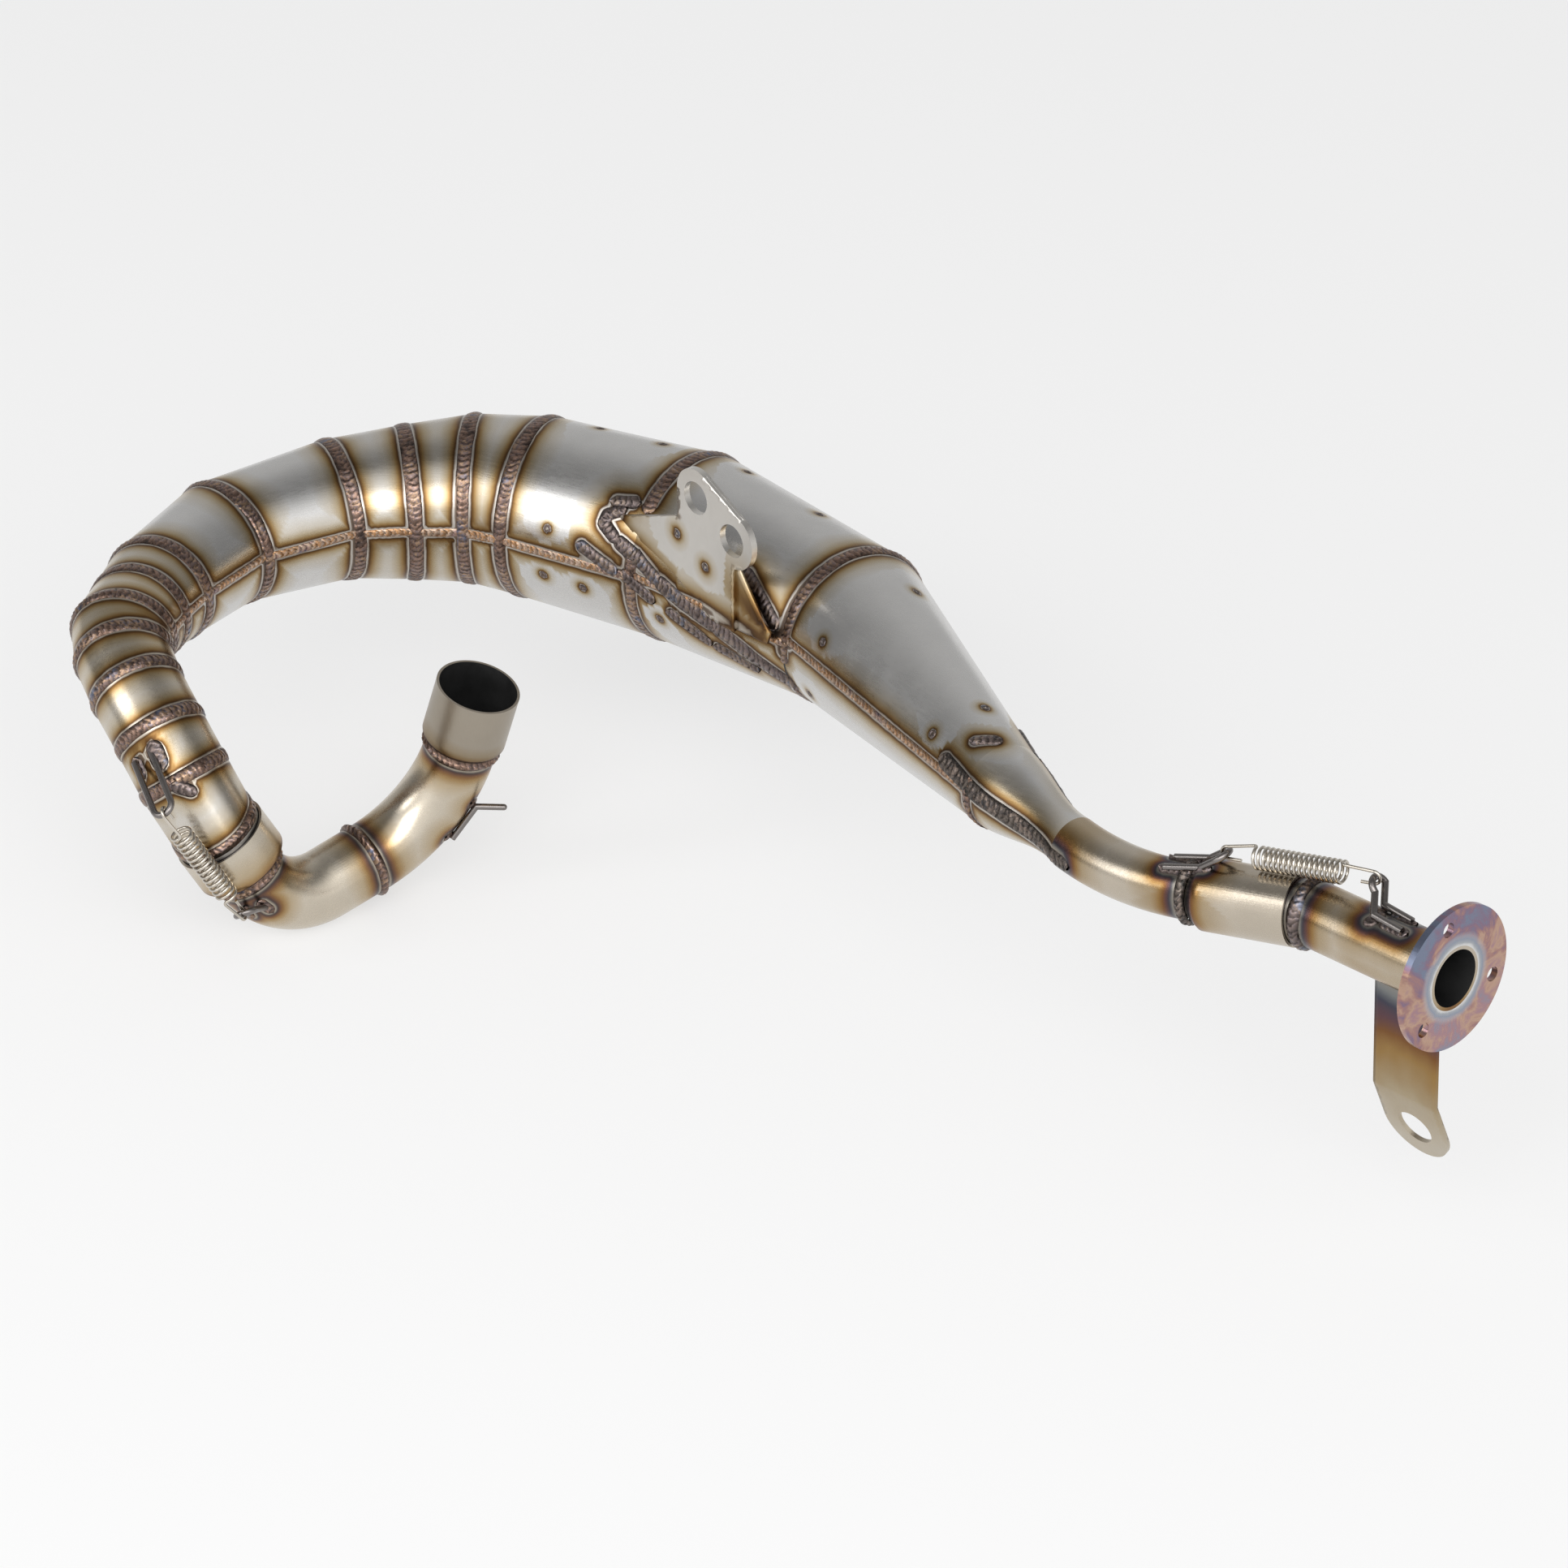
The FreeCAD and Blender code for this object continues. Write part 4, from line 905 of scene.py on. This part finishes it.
# %% Lay all beads
chamber_welds = sorted(n for n in cad if n.startswith("chamber_weld_"))
laid_beads = [
    (lay_beads("girth_beads", "chamber", girth, weld_metal, Crown=0.0010), "chamber", chamber_welds),
    (lay_beads("seam_beads", "chamber", seams, seam_metal, Crown=0.0007), "chamber", []),
    (lay_beads("bracket_beads", "chamber", bracket_runs, tack_metal, Crown=0.0016), "chamber", []),
    (lay_beads("hood_beads", "chamber", hood_runs + tubes["stinger"], sooty_metal, Crown=0.0014), "chamber",
     ["hood_welds", "stinger_weld"]),
    # A thin near-black strip under the bracket's foot: painted shade in the gap
    (lay_beads("foot_gap", "chamber", foot_gap, soot_and_painted_shade, Crown=0.0002), "chamber", []),
    (lay_beads("chamber_tacks", "chamber", tacks, tack_metal, Crown=0.0016), "chamber", []),
    (lay_beads("spot_marks", "chamber", spots, tack_metal, Crown=0.0004, Step=0.0004), "chamber", []),
    (lay_beads("manifold_beads", "manifold", tubes["manifold"] + tacks_manifold, weld_metal, Crown=0.0010),
     "manifold", MANIFOLD_WELDS),
    (lay_beads("tail_beads", "tail", tubes["tail"] + tacks_tail, tack_metal, Crown=0.0012), "tail",
     ["tail_weld"])]
for made, body, nodes in laid_beads:
    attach(made, body)
    if nodes:
        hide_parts(*nodes)

# %% [markdown]
# Now every sheet and tube piece is told how far each of its points lies from the edge of the nearest
# bead. The heat colours read that distance. The strap at the tail was heated along its top edge, so that
# edge counts too.

# %% Distance to the nearest bead
HOT_EDGE = 0.004


def cooler(runs, gain):
    """The same runs with a halo that is narrower by this factor."""
    return [(run, wide, gain) for run, wide in runs]


every = {"chamber": cooler(girth + bracket_runs + hood_runs + tubes["stinger"], 1.0) + cooler(seams, 1.25)
         + cooler(tacks, 1.4) + cooler(spots, 3.0),
         "manifold": cooler(tubes["manifold"], 1.0) + cooler(tacks_manifold, 1.2),
         "tail": cooler(tubes["tail"], 1.0) + cooler(tacks_tail, 1.2)}
strap = [v.co for v in copies["tail_bracket"].data.vertices]
hot_from = max(c.z for c in strap) - HOT_EDGE
every["tail"].append(([(c, UP) for c in strap if c.z > hot_from], 1.0, 1.0))
heat_points = {}
for body, runs in every.items():
    marks = []
    for run, wide, gain in runs:
        for (p, _), (q, _) in zip(run, run[1:]):
            steps = max(1, min(12, int((q - p).length / 0.0015)))
            marks += [(p.lerp(q, t / steps), wide, gain) for t in range(steps)]
    tree = KDTree(len(marks))
    for i, mark in enumerate(marks):
        tree.insert(mark[0], i)
    tree.balance()
    heat_points[body] = (tree, marks)


def warm(mesh, body):
    tree, marks = heat_points[body]
    far = []
    for v in mesh.vertices:
        near = tree.find_n(v.co, 4)
        far.append(min((d / MM - marks[i][1]) * marks[i][2] for _, i, d in near))
    mesh.attributes.new("weld_mm", "FLOAT", "POINT").data.foreach_set("value", far)


def warm_flange(mesh):
    out = [v.co - flange_middle for v in mesh.vertices]
    reach = [(o - flange_axis * o.dot(flange_axis)).length / MM for o in out]
    inside = min(reach)
    mesh.attributes.new("weld_mm", "FLOAT", "POINT").data.foreach_set("value", [r - inside for r in reach])


def paint_soot_and_shade_inside(made):
    """Gives the faces that look at another face of the same tube the near-black inside material: real soot
    and painted shade.
    """
    mesh = made.data
    tree = BVHTree.FromPolygons([v.co for v in mesh.vertices], [tuple(f.vertices) for f in mesh.polygons])
    mesh.materials.append(soot_and_painted_shade)
    for f in mesh.polygons:
        if tree.ray_cast(f.center + f.normal * 0.0002, f.normal, FAR_OUT)[0] is not None:
            f.material_index = 1


# %% Finishes for each piece
# The first row that a node's name starts with gives its finish
FINISH = (("header_spigot", spigot_steel), ("header_", header_steel), ("diffuser_f", header_steel),
          ("diffuser_", chamber_steel), ("belly_", chamber_steel), ("baffle_", chamber_steel),
          ("stinger_hood", chamber_steel), ("stinger_saddle", chamber_steel), ("bracket_", plate_steel),
          ("tail_bracket", strap_steel), ("tail_flange", flange_steel), ("stinger_", tail_steel),
          ("tail_", tail_steel), ("inlet_socket", socket_steel), ("manifold_", manifold_steel))
# These pieces get near-black real soot and painted shade on the inside faces where the tube shades itself
SOOT_AND_SHADE_INSIDE = ("inlet_socket", "manifold_bend_upper", "manifold_elbow", "tail_tube", "tail_spigot", "stinger_tube")
for n, made in {**segments, **copies}.items():
    body = cad[n]["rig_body"]
    if n == "tail_flange":
        warm_flange(made.data)
    else:
        warm(made.data, body)
    made.data.materials.append(next(finish for start, finish in FINISH if n.startswith(start)))
    if n in SOOT_AND_SHADE_INSIDE:
        paint_soot_and_shade_inside(made)
    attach(made, body)
    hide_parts(n)
for n in WIRE:
    cad[n].data.materials.clear()
    cad[n].data.materials.append(hook_steel if n.endswith("_hook") else spring_wire)
print("finished", len(segments) + len(copies), "pieces and", len(WIRE), "wires")

# %% Remove the skins
for o in skins.values():
    bpy.data.objects.remove(o)
